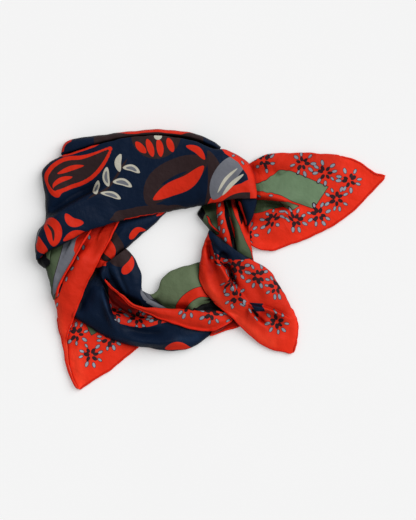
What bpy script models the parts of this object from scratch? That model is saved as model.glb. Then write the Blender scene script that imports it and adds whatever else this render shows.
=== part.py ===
"""A silk square scarf, folded on the bias into a band, looped into a ring and laid on a table.

Run with: blender --background --python part.py

The scarf is laid out on a board. The tables below give board places in millimetres, x to the right and
y down from the board's top left corner. BOARD_MIDDLE becomes the origin, and z is up from the table.
Each stretch of cloth that shows is a thin sheet, lofted through a short table of sections and then
draped on the stretches under it. The layers that don't show share one rounded ring.
"""

import math
from collections import namedtuple

import bpy
import numpy as np
from mathutils import Vector
from mathutils.bvhtree import BVHTree

# Driving dimensions, in metres
MM = 0.001
WALL = 1.2 * MM            # thickness of one sheet of cloth
GAP = 0.3 * MM             # space between two sheets that lie on each other
LAYER_BITE = 1.6 * MM      # depth of the grooves between the hidden layers
LAYERS = 3                 # folded layers that show at the ring's sides

BOARD_MIDDLE = (210.16, 259.14)
FOLD_POWER = 2.6           # superellipse power of a folded edge, which turns down round and steep
FLAT_POWER = 1.6           # the power of an edge that lies flat, such as a hem

RED = (0.72, 0.045, 0.02)
NAVY = (0.012, 0.025, 0.055)
GREEN = (0.115, 0.155, 0.095)
BROWN = (0.045, 0.028, 0.026)

# A section runs across a stretch, from one edge (a) to the other (b). a_z and b_z are the heights of the
# cloth's upper side at those edges, and crown_z its height between them, all in millimetres.
Section = namedtuple("Section", "a_x a_y b_x b_y a_z crown_z b_z")

# A section of the ring of hidden layers, from its outer edge (a) to its inner edge (b).
RingSection = namedtuple("RingSection", "a_x a_y b_x b_y height")

# A fold is a ridge (or, with a negative height, a trough) along a line of board points. A lap is a
# step: the cloth to the left of the line, as one walks along it, stands higher by height, and comes
# down again over reach. Both fade to nothing over the last part of a faded end.
Fold = namedtuple("Fold", "line height width fade_start fade_end", defaults=(0.25, 0.25))
Lap = namedtuple("Lap", "line height width reach fade_start fade_end", defaults=(0.0, 0.5))

RING_SECTIONS = [
    RingSection(240, 170, 226, 194, 18),
    RingSection(222, 155, 214, 197, 19),
    RingSection(200, 147, 198, 200, 18),
    RingSection(175, 140, 180, 203, 17),
    RingSection(148, 138, 158, 207, 17),
    RingSection(120, 143, 137, 213, 17),
    RingSection(95, 150, 124, 221, 17),
    RingSection(68, 161, 116, 230, 17),
    RingSection(50, 178, 113, 240, 17),
    RingSection(49, 205, 113, 250, 16),
    RingSection(44, 235, 114, 262, 13),
    RingSection(52, 264, 120, 276, 10),
    RingSection(62, 290, 130, 288, 8),
    RingSection(82, 311, 137, 298, 7),
    RingSection(110, 329, 150, 303, 6),
    RingSection(140, 338, 165, 297, 6),
    RingSection(168, 342, 176, 285, 6),
    RingSection(192, 338, 190, 274, 6),
    RingSection(214, 324, 203, 268, 7),
    RingSection(236, 306, 208, 258, 8),
    RingSection(246, 283, 211, 249, 8),
    RingSection(247, 258, 213, 240, 8),
    RingSection(246, 236, 212, 229, 9),
    RingSection(248, 214, 210, 217, 11),
    RingSection(249, 190, 215, 205, 14),
]

TAIL_RIGHT = [
    Section(247, 165, 243, 234, 9, 9, 7),
    Section(254, 160.5, 252.5, 245, 8, 9, 6),
    Section(263, 156, 261, 249.6, 5, 9, 3),
    Section(275, 153.6, 272, 250.8, 4, 8, 3),
    Section(290, 153, 287, 245.5, 3, 7, 2.5),
    Section(306, 153, 301, 240.5, 3, 6, 2),
    Section(320, 154, 315, 234, 3, 5.5, 2),
    Section(333, 154.5, 328, 227, 2.5, 5, 2),
    Section(345, 157, 340, 219.5, 2, 4.5, 2),
    Section(357, 160.5, 351, 211, 2, 4, 2),
    Section(366, 166.5, 361, 201.5, 2, 3.5, 2),
    Section(374, 172, 370, 192, 2, 3, 2),
    Section(380, 174.5, 377, 185, 2, 2.5, 2),
    Section(385.3, 175.6, 384, 178.6, 2, 2, 2),
]
TAIL_RIGHT_FOLDS = [
    Fold([(248, 204), (272, 206), (300, 206), (318, 211)], -4.5, 4.5, 0.05, 0.4),
    Fold([(248, 190), (275, 195), (302, 205)], 2.5, 6, 0.05, 0.4),
    Fold([(248, 216), (278, 213), (306, 210)], 3.0, 6, 0.05, 0.4),
    Fold([(250, 172), (270, 172), (292, 166)], -3.0, 6, 0.05, 0.5),
]

INNER_UPPER = [
    Section(140, 200, 171, 208, 13, 13, 6),
    Section(126, 207, 160.5, 218, 13, 13, 4),
    Section(114, 216, 150, 228, 13, 13, 3),
    Section(104, 228, 139, 237, 13, 13, 3),
    Section(97, 242, 128, 247, 13, 12, 3),
    Section(93, 255, 120, 256, 12, 12, 4),
    Section(90, 268, 116, 266, 11, 11, 6),
]
INNER_GREEN = [
    Section(141, 304, 142.5, 291, 6, 7, 3),
    Section(151, 311, 151, 294, 7, 8, 3),
    Section(163, 316, 158, 289.5, 7, 9, 3),
    Section(172, 319, 161, 280, 7, 10, 3),
    Section(181, 320, 167.5, 273, 7, 11, 3),
    Section(191, 320, 180, 267.5, 7, 12, 3),
    Section(201, 319, 192, 264, 7, 12, 4),
    Section(213, 316, 203, 261, 7, 12, 6),
    Section(224, 310, 213, 258, 8, 12, 8),
]
INNER_LOWER = [
    Section(105, 264, 126, 248.5, 14, 15, 6),
    Section(102, 272, 133, 253, 13, 15, 3),
    Section(104, 282, 138.5, 263, 12, 14, 3),
    Section(108, 292, 142, 276, 11, 14, 3),
    Section(114, 301, 141.5, 288, 10, 13, 3),
    Section(124, 309, 147, 297, 10, 12, 4),
    Section(137, 314, 157, 303, 10, 12, 8),
    Section(151, 318, 168, 309, 10, 11, 9),
]
INNER_LOWER_FOLDS = [
    Fold([(106, 262), (113, 280), (126, 297)], -2.5, 4, 0.1, 0.4),
]

CORNER_PANEL = [
    Section(71.5, 312, 147, 336, 2, 4, 2),
    Section(71.5, 325, 138, 347, 2, 5, 2),
    Section(71, 338, 128, 355.5, 2, 5.5, 2),
    Section(71.5, 350, 118, 363, 2, 5, 2),
    Section(72.5, 361, 107.5, 371, 2, 4.5, 2),
    Section(74, 371, 96, 378.5, 2, 4, 2),
    Section(76.5, 380.5, 87, 384.5, 2, 3, 2),
    Section(78.3, 388, 80.6, 389.3, 2, 2.5, 2),
]
NAVY_BAND = [
    Section(88, 256, 106, 262, 11, 12, 12),
    Section(78, 275, 106, 272, 9, 13, 12),
    Section(70, 294, 110, 284, 7, 14, 12),
    Section(69, 308, 114, 293, 5, 14, 12),
    Section(75, 317.5, 119, 300, 3, 14, 11),
    Section(86, 325, 126, 305, 3, 14, 11),
    Section(100, 333.5, 134, 310, 3, 14, 11),
    Section(115, 341, 143, 314, 3, 13, 11),
    Section(131, 345.5, 152, 317, 3, 13, 11),
    Section(147, 348, 161, 320, 3, 13, 11),
    Section(163, 350.5, 171, 321, 3, 13, 11),
    Section(178, 351, 182, 322, 3, 12, 11),
    Section(190, 348.5, 193, 323, 3, 11, 11),
    Section(200.5, 342.5, 204, 324, 3, 10, 10),
    Section(211, 335, 215, 323, 3, 9, 9),
    Section(223, 328, 227, 319, 4, 8, 8),
]
NAVY_BAND_FOLDS = [
    Fold([(103, 262), (107, 298), (113, 331)], 4.0, 5, 0.1, 0.3),
    Fold([(110, 332), (150, 342), (198, 335)], 2.5, 6, 0.3, 0.3),
    Fold([(120, 322), (150, 332), (185, 331)], -2.5, 6, 0.3, 0.4),
    Fold([(96, 276), (92, 296), (88, 318)], -3.0, 6, 0.2, 0.4),
]
UNDER_HEM = [
    Section(207, 337, 209, 325, 2, 5, 6),
    Section(218, 333, 220, 321, 2, 5, 6),
    Section(230, 329.5, 232, 319, 2, 5, 6),
    Section(241, 326, 243, 315, 2, 5, 6),
]
RIBBON = [
    Section(102, 280.5, 105, 275, 14, 15, 14),
    Section(110, 289, 114, 283.5, 14, 16, 15),
    Section(118, 297, 122, 292, 14, 16, 15),
    Section(128, 305.5, 132, 300.5, 14, 17, 15),
    Section(141, 312, 144, 305.5, 14, 17, 14),
    Section(155, 318.5, 158, 307, 13, 17, 13),
    Section(170, 323.5, 173, 308.5, 12, 16, 12),
    Section(186, 327.5, 189, 309.5, 10, 16, 12),
    Section(200, 330, 204, 310.5, 9, 16, 12),
    Section(213, 331, 217, 311, 8, 15, 12),
    Section(226, 328, 230, 313, 8, 14, 12),
    Section(238, 323, 241, 317, 8, 12, 12),
]

LEFT_STRIP = [
    Section(78, 222, 122, 215, 14, 17, 14),
    Section(74, 236, 113, 233, 13, 18, 14),
    Section(67, 250, 106, 246.5, 12, 18, 14),
    Section(60, 262, 98.5, 260, 10, 18, 13),
    Section(55, 275, 91.5, 274, 8, 17, 12),
    Section(53, 288, 85, 286.5, 6, 16, 10),
    Section(54, 300, 80.5, 298.5, 4, 14, 9),
    Section(56.5, 313, 76, 311, 3, 11, 8),
    Section(58.5, 327, 72.5, 323, 2.5, 8, 7),
    Section(61.5, 340, 71.5, 337, 2, 6, 7),
    Section(64.5, 353, 71.5, 351, 2, 5, 6),
    Section(66.5, 366, 73, 365, 2, 4, 5),
    Section(70, 377, 75.8, 377, 2, 3, 4),
    Section(75.6, 387.5, 78, 388, 2, 2.5, 3),
]
LEFT_FOLD = [
    Section(40, 252, 92, 229, 13, 17, 17),
    Section(42, 262, 85.5, 239, 6, 17, 18),
    Section(45.5, 270, 78.5, 251, 4, 17, 18),
    Section(48.5, 279, 72, 263, 3, 16, 18),
    Section(50, 287, 64.5, 275.5, 3, 14, 16),
    Section(51, 294, 59, 287, 3, 10, 12),
    Section(53, 300, 57.5, 296, 3, 7, 9),
]
ROLL_UNDER = [
    Section(36, 244, 54, 241, 10, 13, 14),
    Section(35.5, 254, 51, 250, 6, 12, 13),
    Section(38, 263, 50, 257, 3, 11, 13),
    Section(44, 268.5, 50, 264, 3, 9, 12),
]

NECK = [
    Section(205, 192, 250, 190, 16, 20, 16),
    Section(201, 206, 253, 205, 9, 19, 13),
    Section(197.5, 214, 252, 218, 3, 17, 10),
    Section(203, 222, 250, 230, 3, 16, 9),
    Section(209, 230, 250, 239, 3, 15, 7),
    Section(210, 240, 252, 249, 4, 14, 5),
    Section(211, 250, 253.5, 257, 6, 13, 4),
    Section(212, 262, 254, 265, 8, 12, 5),
]
NECK_FOLDS = [
    Fold([(216, 190), (221, 215), (229, 250)], 4.0, 4.5, 0.0, 0.3),
    Fold([(226, 195), (231, 220), (236, 254)], -4.5, 3.5, 0.0, 0.3),
    Fold([(231, 195), (238, 222), (245, 258)], 3.0, 4.0, 0.0, 0.3),
    Fold([(239, 195), (245, 215), (249, 232)], -3.0, 3.5, 0.0, 0.4),
    Fold([(209, 200), (213, 214), (219, 231)], -3.0, 3.5, 0.0, 0.3),
]
TAIL_LOWER = [
    Section(209, 230, 223, 240, 15, 18, 18),
    Section(205, 240, 237, 251, 10, 19, 18),
    Section(201.5, 252, 252, 260, 6, 19, 12),
    Section(199.5, 264, 262, 265, 5, 18, 8),
    Section(199, 275, 271, 272, 5, 17, 6),
    Section(201.5, 286, 277, 281, 6, 16, 5),
    Section(209, 297, 283, 291, 8, 15, 4),
    Section(221, 308, 289, 302, 9, 14, 3),
    Section(234, 320, 295, 312.5, 8, 12, 2.5),
    Section(247, 333, 298.6, 322, 5, 9, 2.5),
    Section(260, 343.5, 298.3, 334, 3, 6, 2.5),
    Section(275, 350, 296.5, 344, 2.5, 4, 2.5),
    Section(285, 352, 295, 348.5, 2, 3, 2.5),
    Section(291, 354, 294.5, 352.5, 2, 2.5, 2),
]
TAIL_LOWER_FOLDS = [
    Lap([(272, 327), (262, 320), (248, 304), (232, 281), (213, 252), (208, 244)], 3.5, 2.5, 22, 0.35, 0.1),
    Fold([(256, 306), (266, 313), (282, 320)], -1.5, 4, 0.3, 0.4),
    Fold([(236, 262), (256, 290), (268, 308)], -2.0, 7, 0.2, 0.4),
]
WRAP_INNER = [
    Section(256.5, 192, 233, 193, 20, 22, 20),
    Section(256.5, 203, 238, 203, 14, 20, 18),
    Section(255, 211, 241.5, 211, 12, 17, 16),
    Section(252, 219, 244, 219, 12, 15, 14),
    Section(248.5, 226, 246, 225.5, 11, 13, 12),
]

BAND_BACK = [
    Section(60.5, 154, 70, 162, 6, 12, 14),
    Section(63.5, 144, 75, 160, 4, 13, 15),
    Section(70, 139.5, 84, 156, 4, 14, 15),
    Section(88, 136.5, 98, 152, 4, 15, 16),
    Section(110, 133.5, 116, 148, 4, 15, 16),
    Section(135, 130.5, 138, 146, 4, 15, 16),
    Section(160, 129, 160, 145, 4, 15, 16),
    Section(182, 131, 180, 147, 4, 15, 17),
    Section(198, 135, 194, 151, 4, 16, 18),
    Section(211, 141, 206, 156, 4, 16, 18),
    Section(221, 147.5, 215, 161, 5, 17, 19),
]
BAND_FRONT = [
    Section(36, 260, 39.5, 258, 10, 13, 14),
    Section(35, 251, 47, 252, 7, 20, 15),
    Section(35.5, 241, 56, 248, 6, 24, 15),
    Section(38, 230, 66, 242.5, 6, 25, 16),
    Section(45, 221, 75, 238, 7, 25, 17),
    Section(45, 208, 83, 233, 4, 25, 18),
    Section(44, 193, 90, 230.5, 4, 24, 19),
    Section(42, 180, 97, 228, 4, 24, 19),
    Section(42, 170, 104, 226, 4, 23, 19),
    Section(48, 163, 110, 224, 5, 22, 19),
    Section(60, 156.5, 117, 222, 7, 22, 18),
    Section(78, 150.5, 125, 220, 14, 21, 15),
    Section(98, 144.5, 137, 217.5, 15, 21, 14),
    Section(120, 139, 150, 215, 16, 21, 13),
    Section(142, 136, 164, 212.5, 16, 21, 8),
    Section(163, 136, 177, 210, 16, 21, 4),
    Section(182, 138.5, 189, 208, 16, 22, 4),
    Section(200, 143, 200, 206, 17, 24, 8),
    Section(213, 148.5, 208, 204, 16, 26, 18),
    Section(226, 149.8, 214, 203, 12, 27, 20),
    Section(238, 155, 221, 202, 10, 27, 22),
    Section(248.5, 163, 228, 201.5, 10, 27, 23),
    Section(254.5, 175, 234, 201, 13, 26, 24),
    Section(256.5, 190, 239, 201, 18, 25, 24),
    Section(256.5, 199, 244, 201, 22, 24, 24),
]
BAND_FRONT_FOLDS = [
    Lap([(44, 220), (75, 201), (100, 187), (126, 172)], -7.0, 4.0, 34, 0.0, 0.5),
]

Stretch = namedtuple("Stretch", "name colour sections a_edge b_edge along across folds")
FOLDED, FLAT = "folded", "flat"

# From the lowest stretch to the highest: each one is draped on all that come before it.
STRETCHES = [
    Stretch("tail_right", RED, TAIL_RIGHT, FLAT, FLAT, 20, 12, TAIL_RIGHT_FOLDS),
    Stretch("inner_upper", NAVY, INNER_UPPER, FLAT, FOLDED, 9, 6, []),
    Stretch("inner_green", GREEN, INNER_GREEN, FLAT, FOLDED, 11, 7, []),
    Stretch("inner_lower", BROWN, INNER_LOWER, FLAT, FOLDED, 11, 6, INNER_LOWER_FOLDS),
    Stretch("corner_panel", RED, CORNER_PANEL, FLAT, FLAT, 11, 9, []),
    Stretch("navy_band", NAVY, NAVY_BAND, FOLDED, FLAT, 22, 8, NAVY_BAND_FOLDS),
    Stretch("under_hem", RED, UNDER_HEM, FOLDED, FLAT, 5, 4, []),
    Stretch("ribbon", RED, RIBBON, FOLDED, FOLDED, 17, 5, []),
    Stretch("left_strip", RED, LEFT_STRIP, FOLDED, FOLDED, 20, 6, []),
    Stretch("left_fold", GREEN, LEFT_FOLD, FOLDED, FOLDED, 10, 6, []),
    Stretch("neck", RED, NECK, FOLDED, FOLDED, 12, 12, NECK_FOLDS),
    Stretch("tail_lower", RED, TAIL_LOWER, FOLDED, FLAT, 20, 10, TAIL_LOWER_FOLDS),
    Stretch("wrap_inner", NAVY, WRAP_INNER, FOLDED, FLAT, 6, 5, []),
    Stretch("roll_under", GREEN, ROLL_UNDER, FOLDED, FLAT, 5, 4, []),
    Stretch("band_back", NAVY, BAND_BACK, FOLDED, FLAT, 18, 5, []),
    Stretch("band_front", NAVY, BAND_FRONT, FOLDED, FOLDED, 34, 12, BAND_FRONT_FOLDS),
]


def clear_scene():
    for obj in list(bpy.data.objects):
        bpy.data.objects.remove(obj, do_unlink=True)


def silk(colour):
    """The Principled material of that colour, shared by the stretches that have it."""
    name = {RED: "silk_red", NAVY: "silk_navy", GREEN: "silk_green", BROWN: "silk_brown"}[colour]
    material = bpy.data.materials.get(name) or bpy.data.materials.new(name)
    material.use_nodes = True
    shader = material.node_tree.nodes["Principled BSDF"]
    shader.inputs["Base Color"].default_value = (*colour, 1.0)
    shader.inputs["Roughness"].default_value = 0.5
    shader.inputs["Metallic"].default_value = 0.0
    return material


def smooth_step(t):
    t = np.clip(t, 0.0, 1.0)
    return t * t * (3.0 - 2.0 * t)


def curve_through(values, knots, at):
    """Values at the places `at` on a smooth curve through the rows of `values`, which lie at `knots`."""
    slopes = np.gradient(values, knots, axis=0)
    i = np.clip(np.searchsorted(knots, at, side="right") - 1, 0, len(knots) - 2)
    span = knots[i + 1] - knots[i]
    t = ((at - knots[i]) / span)[:, None]
    start, end = values[i], values[i + 1]
    ease = smooth_step(t)
    lead = t * (1.0 - t) ** 2 * span[:, None] * slopes[i]
    trail = t * t * (1.0 - t) * span[:, None] * slopes[i + 1]
    return start * (1.0 - ease) + end * ease + lead - trail


def resampled(sections, count, closed=False):
    """The sections as an array of `count` rows, evenly spaced along the middle of the stretch."""
    rows = np.array(sections, float)
    if closed:
        rows = np.vstack([rows[-2:], rows, rows[:3]])
    middle = (rows[:, 0:2] + rows[:, 2:4]) / 2
    steps = np.linalg.norm(np.diff(middle, axis=0), axis=1)
    knots = np.concatenate([[0.0], np.cumsum(steps)])
    if closed:
        at = np.linspace(knots[2], knots[-3], count, endpoint=False)
    else:
        at = np.linspace(0.0, knots[-1], count)
    return curve_through(rows, knots, at)


def edge_rise(t, edge):
    """How far the cloth has risen from its edge height to its crown, at share t of the way there."""
    power = FOLD_POWER if edge == FOLDED else FLAT_POWER
    rise = 1.0 - (1.0 - np.clip(t, 0.0, 1.0)) ** power
    return rise ** (1.0 / power) if edge == FOLDED else rise


def across_places(count, a_edge, b_edge):
    """Shares of the way across, closer together towards a folded edge, where the cloth turns down."""
    even = np.linspace(0.0, 1.0, count + 1)
    closer = {
        (FOLDED, FOLDED): (1.0 - np.cos(even * math.pi)) / 2,
        (FOLDED, FLAT): 1.0 - np.cos(even * math.pi / 2),
        (FLAT, FOLDED): np.sin(even * math.pi / 2),
        (FLAT, FLAT): even,
    }
    return (even + closer[a_edge, b_edge]) / 2


def along_line(points, line):
    """For each board point: its distance from the line, its side of it (+1 left), and the share along it."""
    line = np.array(line, float)
    steps = np.linalg.norm(np.diff(line, axis=0), axis=1)
    starts = np.concatenate([[0.0], np.cumsum(steps)])[:-1]
    best = np.full(len(points), np.inf)
    side = np.ones(len(points))
    share = np.zeros(len(points))
    for start, end, length, before in zip(line[:-1], line[1:], steps, starts):
        run = (end - start) / length
        offset = points - start
        foot = np.clip(offset @ run, 0.0, length)
        away = np.linalg.norm(offset - foot[:, None] * run, axis=1)
        nearer = away < best
        best = np.where(nearer, away, best)
        side = np.where(nearer, np.sign(run[1] * offset[:, 0] - run[0] * offset[:, 1]), side)
        share = np.where(nearer, (before + foot) / steps.sum(), share)
    return best, side, share


def ends_faded(share, fade_start, fade_end):
    start = smooth_step(share / fade_start) if fade_start else 1.0
    end = smooth_step((1.0 - share) / fade_end) if fade_end else 1.0
    return start * end


def fold_heights(points, folds):
    """What the folds and laps add to the height, in millimetres, at each board point."""
    total = np.zeros(len(points))
    for fold in folds:
        away, side, share = along_line(points, fold.line)
        strength = fold.height * ends_faded(share, fold.fade_start, fold.fade_end)
        if isinstance(fold, Lap):
            raised = smooth_step(0.5 + side * away / (2 * fold.width))
            total += strength * raised * np.exp(-((away / fold.reach) ** 2))
        else:
            total += strength * np.exp(-((away / fold.width) ** 2))
    return total


def board_grid(stretch):
    """Board points (rows along, columns across) and the heights of the cloth's upper side, in millimetres."""
    rows = resampled(stretch.sections, stretch.along + 1)
    across = across_places(stretch.across, stretch.a_edge, stretch.b_edge)
    a, b = rows[:, None, 0:2], rows[:, None, 2:4]
    points = a + (b - a) * across[None, :, None]
    a_z, crown_z, b_z = rows[:, None, 4], rows[:, None, 5], rows[:, None, 6]
    from_a = a_z + (crown_z - a_z) * edge_rise(2 * across, stretch.a_edge)
    from_b = b_z + (crown_z - b_z) * edge_rise(2 * (1 - across), stretch.b_edge)
    heights = np.where(across < 0.5, from_a, from_b)
    return points, heights + fold_heights(points.reshape(-1, 2), stretch.folds).reshape(heights.shape)


def to_table(points, heights):
    """Board millimetres to metres about the origin, with y turned to point up the board."""
    x = (points[..., 0] - BOARD_MIDDLE[0]) * MM
    y = (BOARD_MIDDLE[1] - points[..., 1]) * MM
    z = np.broadcast_to(heights * MM, x.shape)
    return np.stack([x, y, z], axis=-1)


def support_tree(objects):
    """One search tree over the finished surfaces of the objects that lie under a stretch."""
    graph = bpy.context.evaluated_depsgraph_get()
    points, faces = [], []
    for obj in objects:
        evaluated = obj.evaluated_get(graph)
        mesh = evaluated.to_mesh()
        first = len(points)
        points += [vertex.co.copy() for vertex in mesh.vertices]
        faces += [[first + i for i in face.vertices] for face in mesh.polygons]
        evaluated.to_mesh_clear()
    return BVHTree.FromPolygons(points, faces)


def lowest_allowed(grid, tree):
    """The lowest heights that keep the cloth clear of what lies under it, at and around each point."""
    above_all = 200 * MM
    reach = 2 * MM
    clearance = GAP + 1.2 * WALL
    turns = [k * math.pi / 4 for k in range(8)]
    probes = [(0.0, 0.0)] + [(reach * math.cos(turn), reach * math.sin(turn)) for turn in turns]
    lowest = np.full(grid.shape[:2], WALL)
    for i, j in np.ndindex(*lowest.shape):
        for dx, dy in probes:
            start = Vector((grid[i, j, 0] + dx, grid[i, j, 1] + dy, above_all))
            hit = tree.ray_cast(start, Vector((0, 0, -1)))[0]
            if hit is not None:
                lowest[i, j] = max(lowest[i, j], hit.z + clearance)
    return lowest


def draped(heights, lowest, passes=6):
    """The heights, raised to the lowest allowed and smoothed a little where the cloth lies on something."""
    heights = np.maximum(heights, lowest)
    for _ in range(passes):
        padded = np.pad(heights, 1, mode="edge")
        around = (padded[:-2, 1:-1] + padded[2:, 1:-1] + padded[1:-1, :-2] + padded[1:-1, 2:]) / 4
        lies = heights <= lowest
        heights = np.maximum(np.where(lies, (heights + around) / 2, heights), lowest)
    return heights


def grid_faces(rows, columns):
    index = np.arange(rows * columns).reshape(rows, columns)
    return [
        (index[i, j], index[i, j + 1], index[i + 1, j + 1], index[i + 1, j])
        for i in range(rows - 1)
        for j in range(columns - 1)
    ]


def underside(grid):
    """The grid moved down along its normals by the wall and the gap under it."""
    normal = np.cross(np.gradient(grid, axis=1), np.gradient(grid, axis=0))
    normal /= np.linalg.norm(normal, axis=2, keepdims=True)
    return grid - normal * np.sign(normal[..., 2:3]) * (WALL + GAP)


def settled(grid, tree, rounds=60, step=0.2 * MM):
    """The grid, with each face whose wall still meets something below it raised until none does."""
    grid = grid.copy()
    faces = grid_faces(*grid.shape[:2])
    for _ in range(rounds):
        raised = np.zeros(grid.shape[:2], bool)
        for surface in (underside(grid), grid):
            sheet = BVHTree.FromPolygons(surface.reshape(-1, 3).tolist(), faces)
            for face, _ in sheet.overlap(tree):
                raised.flat[list(faces[face])] = True
        if not raised.any():
            break
        grid[..., 2] += step * raised
    return grid


def mesh_object(name, points, faces, material, collection):
    mesh = bpy.data.meshes.new(name)
    mesh.from_pydata(points.reshape(-1, 3).tolist(), [], faces)
    mesh.update()
    mesh.shade_smooth()
    mesh.materials.append(material)
    obj = bpy.data.objects.new(name, mesh)
    collection.objects.link(obj)
    return obj


def add_stretch(stretch, collection, below):
    """One stretch of cloth: its upper side is lofted and draped, and Solidify gives it its wall."""
    tree = support_tree(below)
    grid = to_table(*board_grid(stretch))
    grid[..., 2] = draped(grid[..., 2], lowest_allowed(grid, tree))
    grid = settled(grid, tree)
    obj = mesh_object(stretch.name, grid, grid_faces(*grid.shape[:2]), silk(stretch.colour), collection)
    mesh = obj.data
    if sum(face.normal.z * face.area for face in mesh.polygons) < 0:
        mesh.flip_normals()
    wall = obj.modifiers.new("wall", "SOLIDIFY")
    wall.thickness = WALL
    wall.offset = -1.0
    return obj


def ring_profile(width, height):
    """One section of the ring, (way across, height), up a layered side, over the top and down again."""
    side_share = 0.62
    places = np.linspace(0.0, 1.0, 2 * LAYERS + 1)
    bites = LAYER_BITE * np.abs(np.cos(places * LAYERS * math.pi)) ** 3
    side = [(bite, place * side_share * height) for bite, place in zip(bites, places)]
    top = [
        (width * share, height * (side_share + (1 - side_share) * math.sin(share * math.pi)))
        for share in (0.2, 0.4, 0.6, 0.8)
    ]
    other_side = [(width - bite, rise) for bite, rise in reversed(side)]
    return side + top + other_side


def add_hidden_layers(collection, count=40):
    """The layers that don't show: a closed ring with a flat underside, layered sides and a rounded top."""
    loops = []
    for a_x, a_y, b_x, b_y, height in resampled(RING_SECTIONS, count, closed=True):
        outer = to_table(np.array([a_x, a_y]), 0.0)
        inner = to_table(np.array([b_x, b_y]), 0.0)
        width = np.linalg.norm(inner - outer)
        run = (inner - outer) / width
        up = np.array([0.0, 0.0, 1.0])
        loops.append([outer + run * across + up * rise for across, rise in ring_profile(width, height * MM)])
    points = np.array(loops)
    total, around = points.shape[:2]
    faces = [
        (i * around + j, (i + 1) % total * around + j,
         (i + 1) % total * around + (j + 1) % around, i * around + (j + 1) % around)
        for i in range(total)
        for j in range(around)
    ]
    return mesh_object("hidden_layers", points, faces, silk(NAVY), collection)


def main():
    clear_scene()
    collection = bpy.data.collections.new("silk_scarf")
    bpy.context.scene.collection.children.link(collection)
    built = [add_hidden_layers(collection)]
    for stretch in STRETCHES:
        built.append(add_stretch(stretch, collection, built))


main()
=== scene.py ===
"""The looks of the silk square scarf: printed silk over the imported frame.

The scarf lies on a board that is seen from straight above. Board places are in millimetres, x to the
right and y down from the board's top left corner. BOARD_MIDDLE is the frame's origin, and z is up.
Each stretch of cloth that shows is lofted through the sections of its node in the frame, some of them
moved by a few millimetres, at a much finer grid, creased, draped on the stretches below it, turned under
at its folded edges, hemmed where its cut edge shows, and printed. The print is one material: each stretch
carries, for each ink, the distance of every point from that ink's shapes, and the material turns those
into crisp edges.
"""

import math
from collections import namedtuple

import bpy
import numpy as np
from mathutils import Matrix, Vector


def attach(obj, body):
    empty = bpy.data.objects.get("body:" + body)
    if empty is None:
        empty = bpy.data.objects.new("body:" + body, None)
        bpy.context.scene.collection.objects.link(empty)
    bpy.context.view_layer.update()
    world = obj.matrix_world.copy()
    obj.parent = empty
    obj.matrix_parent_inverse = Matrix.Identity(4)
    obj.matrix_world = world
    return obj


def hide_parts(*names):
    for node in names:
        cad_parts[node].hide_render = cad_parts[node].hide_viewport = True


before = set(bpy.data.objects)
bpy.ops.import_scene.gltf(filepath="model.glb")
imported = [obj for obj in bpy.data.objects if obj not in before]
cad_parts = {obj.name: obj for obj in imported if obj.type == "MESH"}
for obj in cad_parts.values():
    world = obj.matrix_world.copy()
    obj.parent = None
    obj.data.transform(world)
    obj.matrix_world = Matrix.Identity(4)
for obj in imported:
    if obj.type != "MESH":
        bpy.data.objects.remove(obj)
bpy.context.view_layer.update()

# Thicknesses, in metres
MM = 0.001
SILK = 0.45 * MM            # the cloth that shows
HEM_RADIUS = 1.15 * MM      # the rolled hem
HEM_STEP = 0.7 * MM         # from one ring of its roll to the next

# Places and sizes on the board, in millimetres
BOARD_MIDDLE = (210.16, 259.14)
BOARD_SIZE = (416.0, 520.0)
CELL = 1.25                 # the cloth's grid, finer where small shapes are printed
BAND_CELL = 1.0
FINE_CELL = 0.85
RELIEF_CELL = 0.5           # the grid of the relief that each stretch is draped on
FOLD_STEP = 4.0             # from one place to the next on the line of a fold
OUTER_PLEATS = (4.0, 3.0)   # width of the first and the last pleat on its outer side
STITCH_STEP = 4.6           # from one hem stitch to the next
DOUBLED_WIDTH = 22.0        # how far the cloth is double from a folded edge
PAINTED_BACKLIGHT_HEIGHTS = (9.0, 3.0)  # silk this high over the bare table gets no painted backlight, and this low, all of it
BARE_HEIGHT = 2.0           # where the relief below is lower than this, the silk is over the bare table
LEVEL_LIMIT = 2.0           # how far outside a shape the level of its ink still falls
STROKE_STEP = 0.35          # the least from one disc of a stroke to the next
STROKE_RADIUS = 0.05        # the least radius of a stroke

# Draping, in millimetres
COLUMNS = 150               # steps across a stretch while it is draped
FINE_ROWS = 40              # rows between two sections while the rows' places are worked out
SPANNED = 1.2               # cloth lies straight over a hollow that is narrower than this each way
CLEARANCE = 1.3             # from the cloth below to the upper side of the next one
HEM_CLEARANCE = 2.2
HEM_LIFT_REACH = 3.0        # how far in from a hem the cloth is held up by it
FOLD_POWER = 2.6            # superellipse power of a folded edge
FLAT_POWER = 1.6            # the power of an edge that lies flat, such as a hem
SLACKENINGS = 8             # times that the draped cloth is smoothed along its rows
WANDER = 0.22               # waves in the outline of an edge
WANDER_CALM = 8.0           # the waves fade over this length at a stretch's ends
PUCKER = 0.22               # puckers beside a hem, and how far in they fade
PUCKER_REACH = 3.5
USUAL_UNDULATION = 0.35     # where UNDULATION says nothing else

# The cloth that is turned under at a folded edge, in degrees round it and in millimetres
TURN_ANGLES = (15, 30, 45, 60, 75, 90)
TURN_REACHES = (1.0, 2.2, 3.6, 5.0)
TURN_RADII = (0.3, 2.4)     # the least and the greatest; a hemmed edge has the least
TURN_WIDTHS = (0.12, 0.3)   # the greatest radius and reach, as shares of the stretch's width
TURN_CLEARANCE = 0.8        # from the cloth below to the lowest of the turn
TURN_SMOOTHINGS = 24        # times that the radius is smoothed along the edge
HEMMED_REACH = 0.3          # share of the reach that is left behind a hem

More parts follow.
